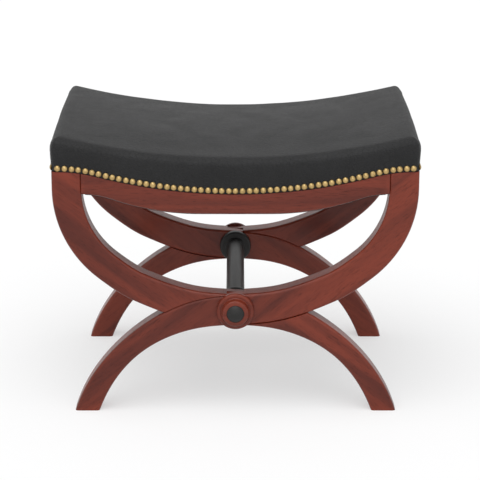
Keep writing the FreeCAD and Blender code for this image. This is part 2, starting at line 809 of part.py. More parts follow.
def seat_solid(label, inset, low):
    """The seat's outer shape taken in by inset, with its lower face raised by low."""
    top_radius = size("seat_sweep_radius") - size("seat_crown") + inset - size("seat_end_lift")
    centre = size("seat_middle_height") + size("seat_sweep_radius")
    half = size("frame_width") / 2 - inset
    from_front = fixed_shape(label + "_front_view", seat_front_view(half, low, top_radius, centre))
    blank = feature("Part::Extrusion", label + "_blank", Base=from_front, Dir=ALONG_Y, Solid=True)
    blank.DirMode = "Custom"
    blank.Symmetric = True
    bind(blank, {"LengthFwd": "2 * Sizes.frame_depth"})
    depth = size("frame_depth") / 2 - inset
    from_side = fixed_shape(label + "_side_view", seat_side_view(depth, inset))
    crown = feature("Part::Revolution", label + "_crown", Source=from_side, Solid=True)
    crown.Base = V(0, 0, centre)
    crown.Axis = ALONG_Y
    half_sweep = math.asin(size("frame_width") / 2 / size("seat_sweep_radius"))
    crown.Angle = 3 * math.degrees(half_sweep)
    crown.Symmetric = True
    return common(label, blank, crown, seat_prism(label + "_prism", str(inset)))


def seat_front_view(half, low, top_radius, centre):
    """Dipping lower line, upright sides, rounded ends and the swept top."""
    ball = size("seat_end_round")
    ball_x = half - ball
    ball_z = centre - math.sqrt((top_radius + ball) ** 2 - ball_x ** 2)
    turn = math.atan2(centre - ball_z, -ball_x)
    edges = SHOW_LINE.edges(half, low)
    shoulders = []
    for side in (-1, 1):
        middle = V(side * ball_x, 0, ball_z)
        outside = middle + V(side * ball, 0, 0)
        halfway = middle + V(side * ball * math.cos(turn / 2), 0, ball * math.sin(turn / 2))
        shoulder = middle + V(side * ball * math.cos(turn), 0, ball * math.sin(turn))
        edges.append(line(SHOW_LINE.point(side * half, low), outside))
        edges.append(arc(outside, halfway, shoulder))
        shoulders.append(shoulder)
    edges.append(arc(shoulders[0], plane_point(0, centre - top_radius), shoulders[1]))
    return face(edges)


def seat_side_view(depth, inset):
    """Crowned top with rounded front and rear edges, in the plane X = 0."""
    crown = size("seat_crown")
    top = size("seat_middle_height") + crown - inset
    bottom = SHOW_LINE.low_height - 2 * size("tacking_height")
    crown_radius = (depth ** 2 + crown ** 2) / (2 * crown)
    ball = size("seat_edge_round") - inset
    ball_y = depth - ball
    ball_z = top - crown_radius + math.sqrt((crown_radius - ball) ** 2 - ball_y ** 2)
    turn = math.atan2(ball_z - top + crown_radius, ball_y)
    edges = []
    shoulders = []
    feet = []
    for side in (-1, 1):
        middle = V(0, side * ball_y, ball_z)
        outside = middle + V(0, side * ball, 0)
        halfway = middle + V(0, side * ball * math.cos(turn / 2), ball * math.sin(turn / 2))
        shoulder = middle + V(0, side * ball * math.cos(turn), ball * math.sin(turn))
        foot = V(0, side * depth, bottom)
        edges.append(line(foot, outside))
        edges.append(arc(outside, halfway, shoulder))
        shoulders.append(shoulder)
        feet.append(foot)
    edges.append(arc(shoulders[0], V(0, 0, top), shoulders[1]))
    edges.append(line(*feet))
    return face(edges)


def make_seat(nails):
    outside = size("leather_inset")
    inside = outside + size("leather_thick")
    room = size("cover_room")
    cloth_low = size("tacking_height") + size("webbing_thick")
    cloth_high = cloth_low + size("hessian_thick")
    half = size("frame_width") / 2
    cloth = band_along_y("hessian_sheet", SHOW_LINE, half, cloth_low, cloth_high, "Sizes.frame_depth")
    piece("hessian", common("hessian", cloth, seat_prism("hessian_edge", "Sizes.hessian_inset")))
    piece("seat_padding", seat_solid("seat_padding", inside + room, cloth_high))
    outer = seat_solid("leather_outside", outside, room)
    inner = seat_solid("leather_inside", inside, -size("tacking_height"))
    piece("leather_cover", cut("leather_cover", outer, inner, nails))


# Domed nails along the leather, and tacks out of sight

def nail(middle, axis):
    """A domed nail whose head's flat back is centred at middle; axis points into the wood."""
    radius = size("nail_head") / 2
    dome = size("nail_dome")
    ball = (radius ** 2 + dome ** 2) / (2 * dome)
    centre = middle + axis * (ball - dome)
    head = Part.makeSphere(ball, centre).common(Part.makeCylinder(radius, dome, middle, -axis))
    return head.fuse(square_pin(middle, axis, size("nail_shank"), size("nail_length")))


def tack(middle, axis):
    """A flat tack whose head's back is centred at middle; axis points into the wood."""
    head = Part.makeCylinder(size("tack_head") / 2, size("tack_head_thick"), middle, -axis)
    return head.fuse(square_pin(middle, axis, size("tack_shank"), size("tack_length")))


def square_pin(middle, axis, side, length):
    """A square pin from middle along axis, which lies along X, Y or Z."""
    reach = axis * length
    low = V(min(0, reach.x), min(0, reach.y), min(0, reach.z))
    spans = [abs(along) or side for along in reach]
    flat = [0 if along else side / 2 for along in reach]
    return Part.makeBox(spans[0], spans[1], spans[2], middle + low - V(*flat))


def make_nails():
    face_y = size("frame_depth") / 2 - size("leather_inset")
    face_x = size("frame_width") / 2 - size("leather_inset")
    edge = size("seat_corner") + size("leather_inset")
    lift = size("nail_line")
    rows = {}
    for end, name in ((-1, "front_nails"), (1, "rear_nails")):
        places = SHOW_LINE.walk(face_x - edge, size("nail_pitch"))
        rows[name] = [
            nail(V(x, end * face_y, SHOW_LINE.height(x) + lift), V(0, -end, 0)) for x in places
        ]
    reach = face_y - edge
    gaps = round(2 * reach / size("nail_pitch"))
    level = SHOW_LINE.end_height + lift
    for side, name in ((-1, "left_nails"), (1, "right_nails")):
        rows[name] = [
            nail(V(side * face_x, -reach + 2 * reach * n / gaps, level), V(-side, 0, 0))
            for n in range(gaps + 1)
        ]
    for name, row in rows.items():
        piece(name, fixed_shape(name, Part.makeCompound(row)))
    everything = [shape for row in rows.values() for shape in row]
    return fixed_shape("all_nails", Part.makeCompound(everything))


def make_webbing_tacks():
    """Three tacks at each end of each strap, heads flush with the strap's face."""
    rail_middle = size("frame_depth") / 2 - size("rail_thick") / 2
    lift = size("tacking_height") + size("webbing_thick") - size("tack_head_thick")
    spread = size("webbing_width") / 3
    tacks = []
    for x in strap_places():
        for place in (x - spread, x, x + spread):
            for end in (-1, 1):
                middle = V(place, end * rail_middle, SHOW_LINE.height(place) + lift)
                tacks.append(tack(middle, V(0, 0, -1)))
    return piece("webbing_tacks", fixed_shape("webbing_tacks", Part.makeCompound(tacks)))


def dust_tack_places():
    """Where the dust cover is tacked under the rails."""
    rail_middle = size("frame_depth") / 2 - size("rail_thick") / 2
    side_middle = size("frame_width") / 2 - size("side_rail_thick") / 2
    pitch = size("dust_tack_pitch")
    across = int((ARM_INSIDE - pitch / 2) / pitch)
    back = int((size("frame_depth") / 2 - size("leg_thick") - pitch / 2) / pitch)
    for end in (-1, 1):
        for n in range(-across, across + 1):
            yield n * pitch, end * rail_middle
        for n in range(-back, back + 1):
            yield end * side_middle, n * pitch


def make_dust_cover_tacks():
    drop = size("dust_cover_thick")
    tacks = [tack(V(x, y, UNDER_LINE.height(x) - drop), UP) for x, y in dust_tack_places()]
    return piece("dust_cover_tacks", fixed_shape("dust_cover_tacks", Part.makeCompound(tacks)))


def make_dust_cover(tacks):
    half = size("frame_width") / 2
    thick = size("dust_cover_thick")
    sheet = band_along_y("dust_sheet", UNDER_LINE, half, -thick, 0, "Sizes.frame_depth")
    room = "2 * Sizes.side_rail_round"
    between_arms = middle_box(
        "dust_between_arms",
        "Sizes.frame_width - 2 * Sizes.arm_width - " + room,
        "Sizes.frame_depth - 2 * Sizes.dust_cover_inset",
        "Sizes.show_line_height",
        "0",
    )
    between_legs = middle_box(
        "dust_between_legs",
        "Sizes.frame_width - 2 * Sizes.dust_cover_inset",
        "Sizes.frame_depth - 2 * Sizes.leg_thick - " + room,
        "Sizes.show_line_height",
        "0",
    )
    outline = feature("Part::MultiFuse", "dust_outline", Shapes=[between_arms, between_legs])
    piece("dust_cover", cut("dust_cover", common("dust_cover_whole", sheet, outline), tacks))


def build():
    cutter = tacking_cutter()
    nails = make_nails()
    webbing_tacks = make_webbing_tacks()
    dust_tacks = make_dust_cover_tacks()
    dowel_holes = make_dowels()
    screw_holes = make_screws()
    DOC.recompute()
    wood_holes = fixed_shape("wood_holes", Part.makeCompound([
        item.Shape for item in (dowel_holes, screw_holes, nails, webbing_tacks, dust_tacks)
    ]))
    make_legs(cutter, wood_holes)
    make_front_and_rear_rails(cutter, wood_holes)
    make_side_rails(cutter, wood_holes)
    make_corner_blocks(screw_holes)
    make_stretcher()
    make_bosses()
    make_buttons()
    make_webbing(webbing_tacks)
    make_seat(nails)
    make_dust_cover(dust_tacks)
    DOC.recompute()


def check():
    """Stops at any feature that failed and any piece that isn't a sound solid."""
    for item in DOC.Objects:
        if {"Invalid", "Error"} & set(item.State):
            raise RuntimeError("failed: %s %s" % (item.Label, item.State))
    for label, item in PIECES.items():
        shape = item.Shape
        if shape.isNull() or not shape.isValid() or not shape.Solids:
            raise RuntimeError("no sound solid: " + label)


def export():
    os.makedirs("parts", exist_ok=True)
    for label, item in PIECES.items():
        item.Shape.exportStep("parts/%s.step" % label)
        print("%-26s %3d solids %12.1f mm3" % (label, len(item.Shape.Solids), item.Shape.Volume))


build()
check()
export()
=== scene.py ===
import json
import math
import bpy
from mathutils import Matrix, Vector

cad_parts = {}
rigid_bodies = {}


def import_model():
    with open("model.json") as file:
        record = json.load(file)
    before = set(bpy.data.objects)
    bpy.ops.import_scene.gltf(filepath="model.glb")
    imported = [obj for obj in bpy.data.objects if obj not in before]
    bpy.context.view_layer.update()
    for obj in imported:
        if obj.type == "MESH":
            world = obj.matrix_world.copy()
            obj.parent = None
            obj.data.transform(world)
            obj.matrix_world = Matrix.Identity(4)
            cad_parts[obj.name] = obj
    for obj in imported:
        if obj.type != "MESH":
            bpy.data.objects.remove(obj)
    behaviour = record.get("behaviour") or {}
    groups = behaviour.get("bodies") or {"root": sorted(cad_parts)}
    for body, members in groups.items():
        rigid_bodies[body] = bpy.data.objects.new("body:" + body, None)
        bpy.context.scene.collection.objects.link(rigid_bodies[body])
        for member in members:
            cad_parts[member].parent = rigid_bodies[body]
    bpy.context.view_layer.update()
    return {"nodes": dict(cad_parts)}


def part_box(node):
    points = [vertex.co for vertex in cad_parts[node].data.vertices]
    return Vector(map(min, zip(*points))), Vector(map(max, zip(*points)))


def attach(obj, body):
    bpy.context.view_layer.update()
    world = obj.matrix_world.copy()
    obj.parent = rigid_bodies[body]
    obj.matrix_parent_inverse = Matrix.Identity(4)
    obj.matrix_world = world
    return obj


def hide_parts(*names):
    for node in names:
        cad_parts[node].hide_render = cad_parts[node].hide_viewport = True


bl_info = {
    "name": "X Frame Stool Dressing",
    "version": (1, 0, 0),
    "blender": (4, 5, 0),
    "location": "3D View > Sidebar > Stool",
    "description": "Polishes, upholsters and nails an X frame stool around its packed frame",
    "category": "Object",
}

import bmesh
import bpy
from bpy.props import FloatProperty, FloatVectorProperty, IntProperty, PointerProperty
from mathutils import Euler, Matrix, Vector, noise
from mathutils.bvhtree import BVHTree

for leftover in list(bpy.data.objects):
    bpy.data.objects.remove(leftover)
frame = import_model()
BODY = "root"
MM = 0.001
# Points nearer to each other than this are one point
TOUCHING = 0.001 * MM

# The photograph's square frame, in pixels, and where its middle line falls
PHOTO_SIZE = 480
PHOTO_MIDDLE_X = 235.4
PHOTO_LENS_PIXELS = 2046.25


# Settings that a user would change

def length_setting(name, description, default, least=0.0):
    return FloatProperty(name=name, description=description, default=default, min=least, unit="LENGTH")


def angle_setting(name, description, degrees, **limits):
    return FloatProperty(name=name, description=description, default=math.radians(degrees),
                         unit="ROTATION", subtype="ANGLE", **limits)


def strength_setting(name, description, default, **limits):
    return FloatProperty(name=name, description=description, default=default, min=0.0, **limits)


def colour_setting(name, description, default):
    return FloatVectorProperty(name=name, description=description, default=default, size=3,
                               min=0.0, max=1.0, subtype="COLOR")


class StoolSizes(bpy.types.PropertyGroup):
    leather_thickness: length_setting("Leather thickness", "Thickness of the cover", 1.4 * MM, 0.5 * MM)
    sweep_radius: length_setting(
        "Sweep radius", "Radius of the seat's dip, seen from the front", 1.25, 0.6)
    crown: length_setting("Crown", "Rise of the seat from its front edge to its middle", 7 * MM)
    front_round: length_setting(
        "Front rounding", "Rounding of the front and rear top edges", 14 * MM, 2 * MM)
    end_round: length_setting(
        "End rounding", "Rounding of the left and right top edges", 20 * MM, 2 * MM)
    corner_radius: length_setting(
        "Corner radius", "Plan radius of the leather's upright corners", 10 * MM, 2 * MM)
    slack_start: length_setting(
        "Starting slack", "How much smaller the pad starts before it swells", 2 * MM)
    swell_limit: length_setting(
        "Swell limit", "How far a point of the pad may move as it swells", 4 * MM)
    side_belly: length_setting("Side belly", "How far the sides stand out above the nails", 1.4 * MM)
    pleat_height: length_setting("Pleat height", "Step of the folded leather at each corner", 2.2 * MM)
    nail_head: length_setting("Nail head", "Diameter of a domed nail's head", 11 * MM, 4 * MM)
    nail_dome: length_setting("Nail dome", "Height of a domed nail's head", 3.6 * MM, 1 * MM)
    nail_tilt: angle_setting("Nail tilt", "How far a hand-driven nail leans, at most", 3, min=0.0)
    dust_sag: length_setting(
        "Dust cover sag", "How far the cloth under the seat hangs at its middle", 4 * MM)
    hand_seed: IntProperty(
        name="Seed", description="Seed of everything that a hand leaves uneven", default=7, min=0)


class StoolFinish(bpy.types.PropertyGroup):
    wood: colour_setting("Show wood", "Middle tone of the polished red-brown wood", (0.188, 0.029, 0.0125))
    wood_dark: colour_setting(
        "Show wood, dark", "Dark tone of the polished wood's figure", (0.080, 0.011, 0.005))
    black_wood: colour_setting("Black wood", "Stretcher and buttons", (0.011, 0.0105, 0.010))
    leather: colour_setting("Leather", "Charcoal leather", (0.018, 0.018, 0.0185))
    brass: colour_setting("Brass", "Bright tone of the aged nails", (0.50, 0.35, 0.15))
    beech: colour_setting("Beech", "Blocks and dowels out of sight", (0.55, 0.38, 0.21))
    jute: colour_setting("Jute", "Webbing and hessian", (0.42, 0.32, 0.19))
    dust_cloth: colour_setting("Dust cover", "Black cloth under the seat", (0.018, 0.018, 0.019))


class StoolStage(bpy.types.PropertyGroup):
    camera_distance: length_setting(
        "Camera distance", "Camera to the stool's middle, along the floor", 3.54396, 0.5)
    camera_height: length_setting("Camera height", "Camera above the floor", 1.29396)
    camera_pitch: angle_setting("Camera pitch", "How far the camera looks down", 16.4768)
    room_light: strength_setting("Room light", "Strength of the light from all around", 0.55)
    key_light: strength_setting("Key light", "Strength of the broad lamp above the front", 1.6)
    fill_light: strength_setting("Fill light", "Strength of the low lamp in front", 0.55)
    floor_glow: strength_setting(
        "Floor glow", "How far the camera sees the floor as plain white", 0.5, max=1.0, subtype="FACTOR")
    floor: colour_setting("Floor", "Pale floor", (0.96, 0.965, 0.97))


# Shader maths as Python expressions

class Value:
    """A socket on which arithmetic adds Math nodes."""

    def __init__(self, tree, socket):
        self.tree = tree
        self.socket = socket

    def _maths(self, operation, *values):
        node = add_node(self.tree, "ShaderNodeMath", {"operation": operation}, dict(enumerate(values)))
        return Value(self.tree, node.outputs[0])

    def __add__(self, other):
        return self._maths("ADD", self, other)

    __radd__ = __add__

    def __sub__(self, other):
        return self._maths("SUBTRACT", self, other)

    def __rsub__(self, other):
        return self._maths("SUBTRACT", other, self)

    def __mul__(self, other):
        return self._maths("MULTIPLY", self, other)

    __rmul__ = __mul__

    def __pow__(self, other):
        return self._maths("POWER", self, other)

    def larger(self, other):
        return self._maths("MAXIMUM", self, other)

    def unsigned(self):
        return self._maths("ABSOLUTE", self)

    def sine(self):
        return self._maths("SINE", self)

    def above(self, edge, softness):
        """0 below edge, 1 above it, with a soft step between."""
        settings = {"interpolation_type": "SMOOTHSTEP", "clamp": True}
        sockets = {"Value": self, "From Min": edge - softness, "From Max": edge + softness}
        node = add_node(self.tree, "ShaderNodeMapRange", settings, sockets)
        return Value(self.tree, node.outputs["Result"])


def feed(tree, socket, value):
    """Links a Value or another socket to this one, or writes a plain value into it."""
    if isinstance(value, Value):
        value = value.socket
    if isinstance(value, bpy.types.NodeSocket):
        tree.links.new(value, socket)
    else:
        socket.default_value = value


def add_node(tree, kind, settings=None, sockets=None):
    """A node of this kind; its settings are made first, then its sockets' values or links."""
    node = tree.nodes.new(kind)
    for name, value in (settings or {}).items():
        setattr(node, name, value)
    for key, value in (sockets or {}).items():
        feed(tree, node.inputs[key], value)
    return node


class Finish:
    """A material under construction around one Principled BSDF."""

    def __init__(self, name):
        self.material = bpy.data.materials.new(name)
        self.material.use_nodes = True
        self.tree = self.material.node_tree
        self.shader = next(node for node in self.tree.nodes if node.type == "BSDF_PRINCIPLED")
        self.place = self.node("ShaderNodeTexCoord").outputs["Object"]

    def node(self, kind, settings=None, sockets=None):
        return add_node(self.tree, kind, settings, sockets)

    def number(self, socket):
        return Value(self.tree, socket)

    def set(self, **sockets):
        """Sets or links the shader's sockets; underscores stand for spaces."""
        for name, value in sockets.items():
            feed(self.tree, self.shader.inputs[name.replace("_", " ")], value)

    def stretched(self, scale, turn=(0.0, 0.0, 0.0), shift=(0.0, 0.0, 0.0)):
        """Object coordinates, turned and then scaled per metre along each axis."""
        turned = self.node("ShaderNodeMapping", {"vector_type": "POINT"}, {
            "Vector": self.place, "Rotation": turn, "Location": shift,
        })
        sized = self.node("ShaderNodeVectorMath", {"operation": "MULTIPLY"}, {
            0: turned.outputs["Vector"], 1: scale,
        })
        return sized.outputs["Vector"]

    def noise(self, vector, scale=1.0, detail=3.0, roughness=0.5, distortion=0.0):
        node = self.node("ShaderNodeTexNoise", None, {
            "Vector": vector, "Scale": scale, "Detail": detail,
            "Roughness": roughness, "Distortion": distortion,
        })
        return self.number(node.outputs["Fac"])

    def cells(self, vector, scale, feature="F1"):
        node = self.node("ShaderNodeTexVoronoi", {"feature": feature}, {"Vector": vector, "Scale": scale})
        return self.number(node.outputs["Distance"])

    def mix(self, share, first, second):
        """A colour between first and second, each a plain colour or a socket."""
        ends = [colour if isinstance(colour, bpy.types.NodeSocket) else (*colour, 1.0)
                for colour in (first, second)]
        node = self.node("ShaderNodeMix", {"data_type": "RGBA", "clamp_factor": True}, {
            0: share, 6: ends[0], 7: ends[1],
        })
        return node.outputs[2]

    def attribute(self, name):
        node = self.node("ShaderNodeAttribute", {"attribute_name": name})
        return self.number(node.outputs["Fac"])

    def bump(self, height, distance, strength=1.0):
        node = self.node("ShaderNodeBump", None, {
            "Height": height, "Distance": distance, "Strength": strength,
        })
        self.set(Normal=node.outputs["Normal"])


def finish_settings():
    return bpy.context.scene.stool_finish


def sizes():
    return bpy.context.scene.stool_sizes


def shade(colour, share):
    """The colour, darker for a share below 1 and paler above it."""
    return [share * channel for channel in colour]


# Finishes

def polished_wood(name, turn, shift):
    """Red-brown wood, grain along X after the turn, under a thin clear polish."""
    colours = finish_settings()
    made = Finish(name)
    figure = made.noise(made.stretched((2.2, 34.0, 34.0), turn, shift), detail=5.0, distortion=0.6)
    ribbon = made.noise(made.stretched((0.9, 9.0, 9.0), turn, shift), detail=2.0, distortion=1.2)
    pores = made.noise(made.stretched((70.0, 1500.0, 1500.0), turn, shift), detail=2.0).above(0.63, 0.05)
    tone = (0.65 * figure + 0.35 * ribbon).above(0.5, 0.17)
    base = made.mix(tone, colours.wood_dark, colours.wood)
    worn = made.mix(made.attribute("rim") * 0.22, base, shade(colours.wood, 1.5))
    pored = made.mix(pores * 0.55, worn, shade(colours.wood_dark, 0.35))
    smear = made.noise(made.stretched((6.0, 6.0, 6.0), turn, shift), detail=3.0)
    made.set(
        Base_Color=pored,
        Roughness=0.36 + 0.12 * smear + 0.15 * pores,
        Coat_Weight=0.26 - 0.16 * pores,
        Coat_Roughness=0.16,
        Specular_IOR_Level=0.2,
    )
    made.bump(0.25 * figure - pores, 0.12 * MM)
    return made.material


def black_stained_wood():
    """Fine-grained wood stained black, satin, grain along Y."""
    colours = finish_settings()
    made = Finish("black_stained_wood")
    grain = made.noise(made.stretched((900.0, 30.0, 900.0)), detail=3.0)
    broad = made.noise(made.stretched((30.0, 4.0, 30.0)), detail=2.0)
    tone = made.mix(grain.above(0.55, 0.2) * 0.5 + broad * 0.3, colours.black_wood,
                    shade(colours.black_wood, 2.2))
    made.set(Base_Color=tone, Roughness=0.40 + 0.16 * grain, Coat_Weight=0.12 - 0.08 * grain,
             Coat_Roughness=0.22, Specular_IOR_Level=0.25)
    made.bump(grain, 0.08 * MM)
    return made.material


def plain_beech(name, turn):
    """Unfinished pale wood with short darker flecks, grain along X after the turn."""
    colours = finish_settings()
    made = Finish(name)
    grain = made.noise(made.stretched((12.0, 260.0, 260.0), turn), detail=3.0)
    flecks = made.noise(made.stretched((160.0, 1300.0, 1300.0), turn), detail=1.0).above(0.64, 0.04)
    tone = made.mix(grain, colours.beech, shade(colours.beech, 0.72))
    made.set(Base_Color=made.mix(flecks * 0.5, tone, shade(colours.beech, 0.45)), Roughness=0.7)
    made.bump(grain - flecks, 0.15 * MM)
    return made.material


def charcoal_leather():
    """Pebbled leather: fine cells in creases, painted shade in the hollows between the pebbles, broad
    mottling, paler where it is rubbed.
    """
    colour = finish_settings().leather
    made = Finish("charcoal_leather")
    drift = made.node("ShaderNodeTexNoise", None, {"Vector": made.place, "Scale": 90.0, "Detail": 2.0})
    wander = made.node("ShaderNodeVectorMath", {"operation": "MULTIPLY_ADD"}, {
        0: drift.outputs["Color"], 1: (0.004, 0.004, 0.004), 2: made.place,
    }).outputs["Vector"]
    pebbles = made.cells(wander, 480.0, "SMOOTH_F1")
    creases = made.cells(wander, 130.0, "DISTANCE_TO_EDGE").above(0.05, 0.05)
    fine = made.noise(made.place, 1800.0, 2.0)
    mottle = made.noise(made.place, 9.0, 4.0, 0.55)
    patches = made.noise(made.place, 38.0, 3.0)
    base = made.mix((0.6 * mottle + 0.4 * patches).above(0.5, 0.25), shade(colour, 0.82),
                    shade(colour, 1.22))
    # Painted shade: the colour is darker in the hollows between the pebbles, where the bump sinks
    pebble_hollow_shade = made.mix(pebbles.above(0.55, 0.3) * 0.35, base, shade(colour, 0.55))
    worn = made.attribute("rim") * mottle.above(0.45, 0.2) * 0.35
    made.set(
        Base_Color=made.mix(worn, pebble_hollow_shade, shade(colour, 2.0)),
        Roughness=0.46 + 0.12 * patches + 0.10 * pebbles,
        Specular_IOR_Level=0.18,
    )
    made.bump(0.6 * creases - 0.8 * pebbles + 0.12 * fine, 0.9 * MM, 0.8)
    return made.material


def aged_brass():
    """Lacquered brass, browned towards each head's rim."""
    colour = finish_settings().brass
    made = Finish("aged_brass")
    spots = made.noise(made.place, 260.0, 4.0, 0.6)
    rim = made.attribute("rim")
    tarnish = (rim ** 3.0 * 0.9 + spots.above(0.58, 0.1) * 0.35).above(0.5, 0.5)
    made.set(
        Base_Color=made.mix(tarnish, colour, shade(colour, 0.32)),
        Metallic=1.0,
        Roughness=0.27 + 0.22 * tarnish + 0.1 * spots,
    )
    made.bump(made.noise(made.place, 700.0, 2.0), 0.05 * MM)
    return made.material


def dull_metal(name, colour, roughness):
    """Tacks and screws: dull metal with faint scratches."""
    made = Finish(name)
    marks = made.noise(made.stretched((300.0, 1500.0, 300.0)), detail=3.0)
    made.set(Base_Color=made.mix(marks, colour, shade(colour, 0.6)), Metallic=0.9,
             Roughness=roughness + 0.2 * marks)
    made.bump(marks, 0.03 * MM)
    return made.material


def woven(name, colour, pitch, relief, stripe=None, roughness=0.85):
    """A plain weave in X and Y, its threads a pitch apart; stripe is (colour, place, half width)."""
    made = Finish(name)
    apart = made.node("ShaderNodeSeparateXYZ", None, {"Vector": made.place}).outputs
    turn = math.pi / pitch
    warp, weft = [(made.number(apart[axis]) * turn).sine() for axis in ("X", "Y")]
    crossing = (warp * weft).unsigned()
    slub = made.noise(made.place, 160.0, 3.0)
    lighter = [min(1.0, channel) for channel in shade(colour, 1.25)]
    tone = made.mix((crossing * 0.7 + slub * 0.5).above(0.45, 0.4), shade(colour, 0.55), lighter)
    if stripe:
        stripe_colour, offset, half_width = stripe
        inside = 1.0 - (made.attribute("lane") - offset).unsigned().above(half_width, 0.02)
        tone = made.mix(inside * 0.85, tone, stripe_colour)
    made.set(Base_Color=tone, Roughness=roughness)
    made.bump(crossing + 0.4 * slub, relief)
    return made.material


def foam():
    made = Finish("foam")
    bubbles = made.cells(made.place, 900.0)
    yellowing = made.noise(made.place, 12.0, 3.0)
    made.set(Base_Color=made.mix(yellowing, (0.74, 0.70, 0.58), (0.62, 0.54, 0.38)), Roughness=0.95)
    made.bump(bubbles, 0.4 * MM)
    return made.material


# Mesh helpers

def piece_from(mesh, name, slot, material, *nodes):
    """A new piece that rides on the stool, wears the material and stands for the nodes."""
    mesh.materials.clear()
    mesh.materials.append(material)
    piece = bpy.data.objects.new(name, mesh)
    bpy.context.scene.collection.objects.link(piece)
    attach(piece, BODY)
    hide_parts(*nodes)
    return piece


def mesh_from(name, points, faces, smooth=True):
    mesh = bpy.data.meshes.new(name)
    mesh.from_pydata([tuple(point) for point in points], [], faces)
    mesh.validate()
    if smooth:
        mesh.shade_smooth()
    return mesh


def face_outwards(mesh):
    work = bmesh.new()
    work.from_mesh(mesh)
    bmesh.ops.remove_doubles(work, verts=work.verts, dist=TOUCHING)
    bmesh.ops.recalc_face_normals(work, faces=work.faces)
    work.to_mesh(mesh)
    work.free()


def finished(obj):
    """The object's mesh with its modifiers in it; the object itself goes."""
    graph = bpy.context.evaluated_depsgraph_get()
    mesh = bpy.data.meshes.new_from_object(obj.evaluated_get(graph), preserve_all_data_layers=True,
                                           depsgraph=graph)
    bpy.data.objects.remove(obj)
    return mesh


def linked(name, mesh):
    obj = bpy.data.objects.new(name, mesh)
    bpy.context.scene.collection.objects.link(obj)
    return obj


def thickened(mesh, thickness, offset=1.0):
    """The mesh with a second face this far off and its edges closed."""
    holder = linked("thickening", mesh)
    solid = holder.modifiers.new("thickness", "SOLIDIFY")
    solid.thickness = thickness
    solid.offset = offset
    return finished(holder)


def lattice_faces(across, back, start=0):
    """Faces over rows of points from left to right, the rows from front to rear."""
    wide = across + 1
    corners = [start + j * wide + i for j in range(back) for i in range(across)]
    return [(corner, corner + 1, corner + wide + 1, corner + wide) for corner in corners]


def write_shares(mesh, name, shares):
    """Stores a number from 0 to 1 for each point, which a finish reads by this name."""
    mesh.attributes.new(name, "FLOAT", "POINT").data.foreach_set("value", shares)


def islands(node):
    """The separate solids of a node, as lists of their corner points."""
    work = bmesh.new()
    work.from_mesh(frame["nodes"][node].data)
    bmesh.ops.remove_doubles(work, verts=work.verts, dist=TOUCHING)
    seen = set()
    found = []
    for start in work.verts:
        if start in seen:
            continue
        seen.add(start)
        waiting = [start]
        points = []
        while waiting:
            corner = waiting.pop()
            points.append(corner.co.copy())
            for edge in corner.link_edges:
                other = edge.other_vert(corner)
                if other not in seen:
                    seen.add(other)
                    waiting.append(other)
        found.append(points)
    work.free()
    return found


def box_of(points):
    low = Vector([min(point[axis] for point in points) for axis in range(3)])
    high = Vector([max(point[axis] for point in points) for axis in range(3)])
    return low, high


class Probe:
    """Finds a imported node's surface above or below a place on the floor."""

    def __init__(self, node):
        mesh = frame["nodes"][node].data
        self.tree = BVHTree.FromPolygons(
            [vertex.co for vertex in mesh.vertices], [tuple(face.vertices) for face in mesh.polygons]
        )

    def underside(self, x, y):
        return self.tree.ray_cast(Vector((x, y, -1.0)), Vector((0, 0, 1)))[0].z


class Outline:
    """Corners of a turned profile, each (radius, place along the axis, rounding)."""

    def __init__(self, *corners):
        self.corners = corners

    def points(self, steps=6):
        rounded = []
        last = len(self.corners) - 1
        for n, (radius, along, rounding) in enumerate(self.corners):
            here = Vector((radius, along))
            if rounding == 0 or n in (0, last):
                rounded.append(here)
                continue
            before = (Vector(self.corners[n - 1][:2]) - here).normalized()
            after = (Vector(self.corners[n + 1][:2]) - here).normalized()
            half = before.angle(after) / 2
            middle = here + (before + after).normalized() * (rounding / math.sin(half))
            start = here + before * (rounding / math.tan(half)) - middle
            turn = start.angle_signed(here + after * (rounding / math.tan(half)) - middle)
            for step in range(steps + 1):
                angle = -turn * step / steps
                rounded.append(middle + Matrix.Rotation(angle, 2) @ start)
        return rounded


def turned(name, outline, segments=72):
    """A turned solid about the Y axis, the profile's second number along Y."""
    profile = outline.points()
    points = []
    rings = []
    for radius, along in profile:
        if radius < TOUCHING:
            rings.append([len(points)] * segments)
            points.append((0.0, along, 0.0))
            continue
        rings.append(list(range(len(points), len(points) + segments)))
        for n in range(segments):
            angle = 2 * math.pi * n / segments
            points.append((radius * math.cos(angle), along, radius * math.sin(angle)))
    faces = []
    for first, second in zip(rings, rings[1:]):
        for n in range(segments):
            after = (n + 1) % segments
            corners = (first[n], first[after], second[after], second[n])
            unique = list(dict.fromkeys(corners))
            if len(unique) > 2:
                faces.append(unique)
    mesh = mesh_from(name, points, faces)
    face_outwards(mesh)
    mesh.shade_smooth()
    mesh.set_sharp_from_angle(angle=math.radians(50))
    return mesh


def set_on_node(mesh, node):
    """Moves a piece that was turned outwards from Y = 0 onto its front or rear node."""
    low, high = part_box(node)
    front = node.startswith("front")
    base = high.y if front else low.y
    way = -1 if front else 1
    middle = (low.z + high.z) / 2
    for vertex in mesh.vertices:
        x, along, z = vertex.co
        vertex.co = (x, base + way * along, middle + z)
    if front:
        mesh.flip_normals()


def turned_size(node):
    """Radius and length of a node that was turned about an axis along Y."""
    low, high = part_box(node)
    return (high.x - low.x) / 2, high.y - low.y


# Geometry Nodes for what repeats

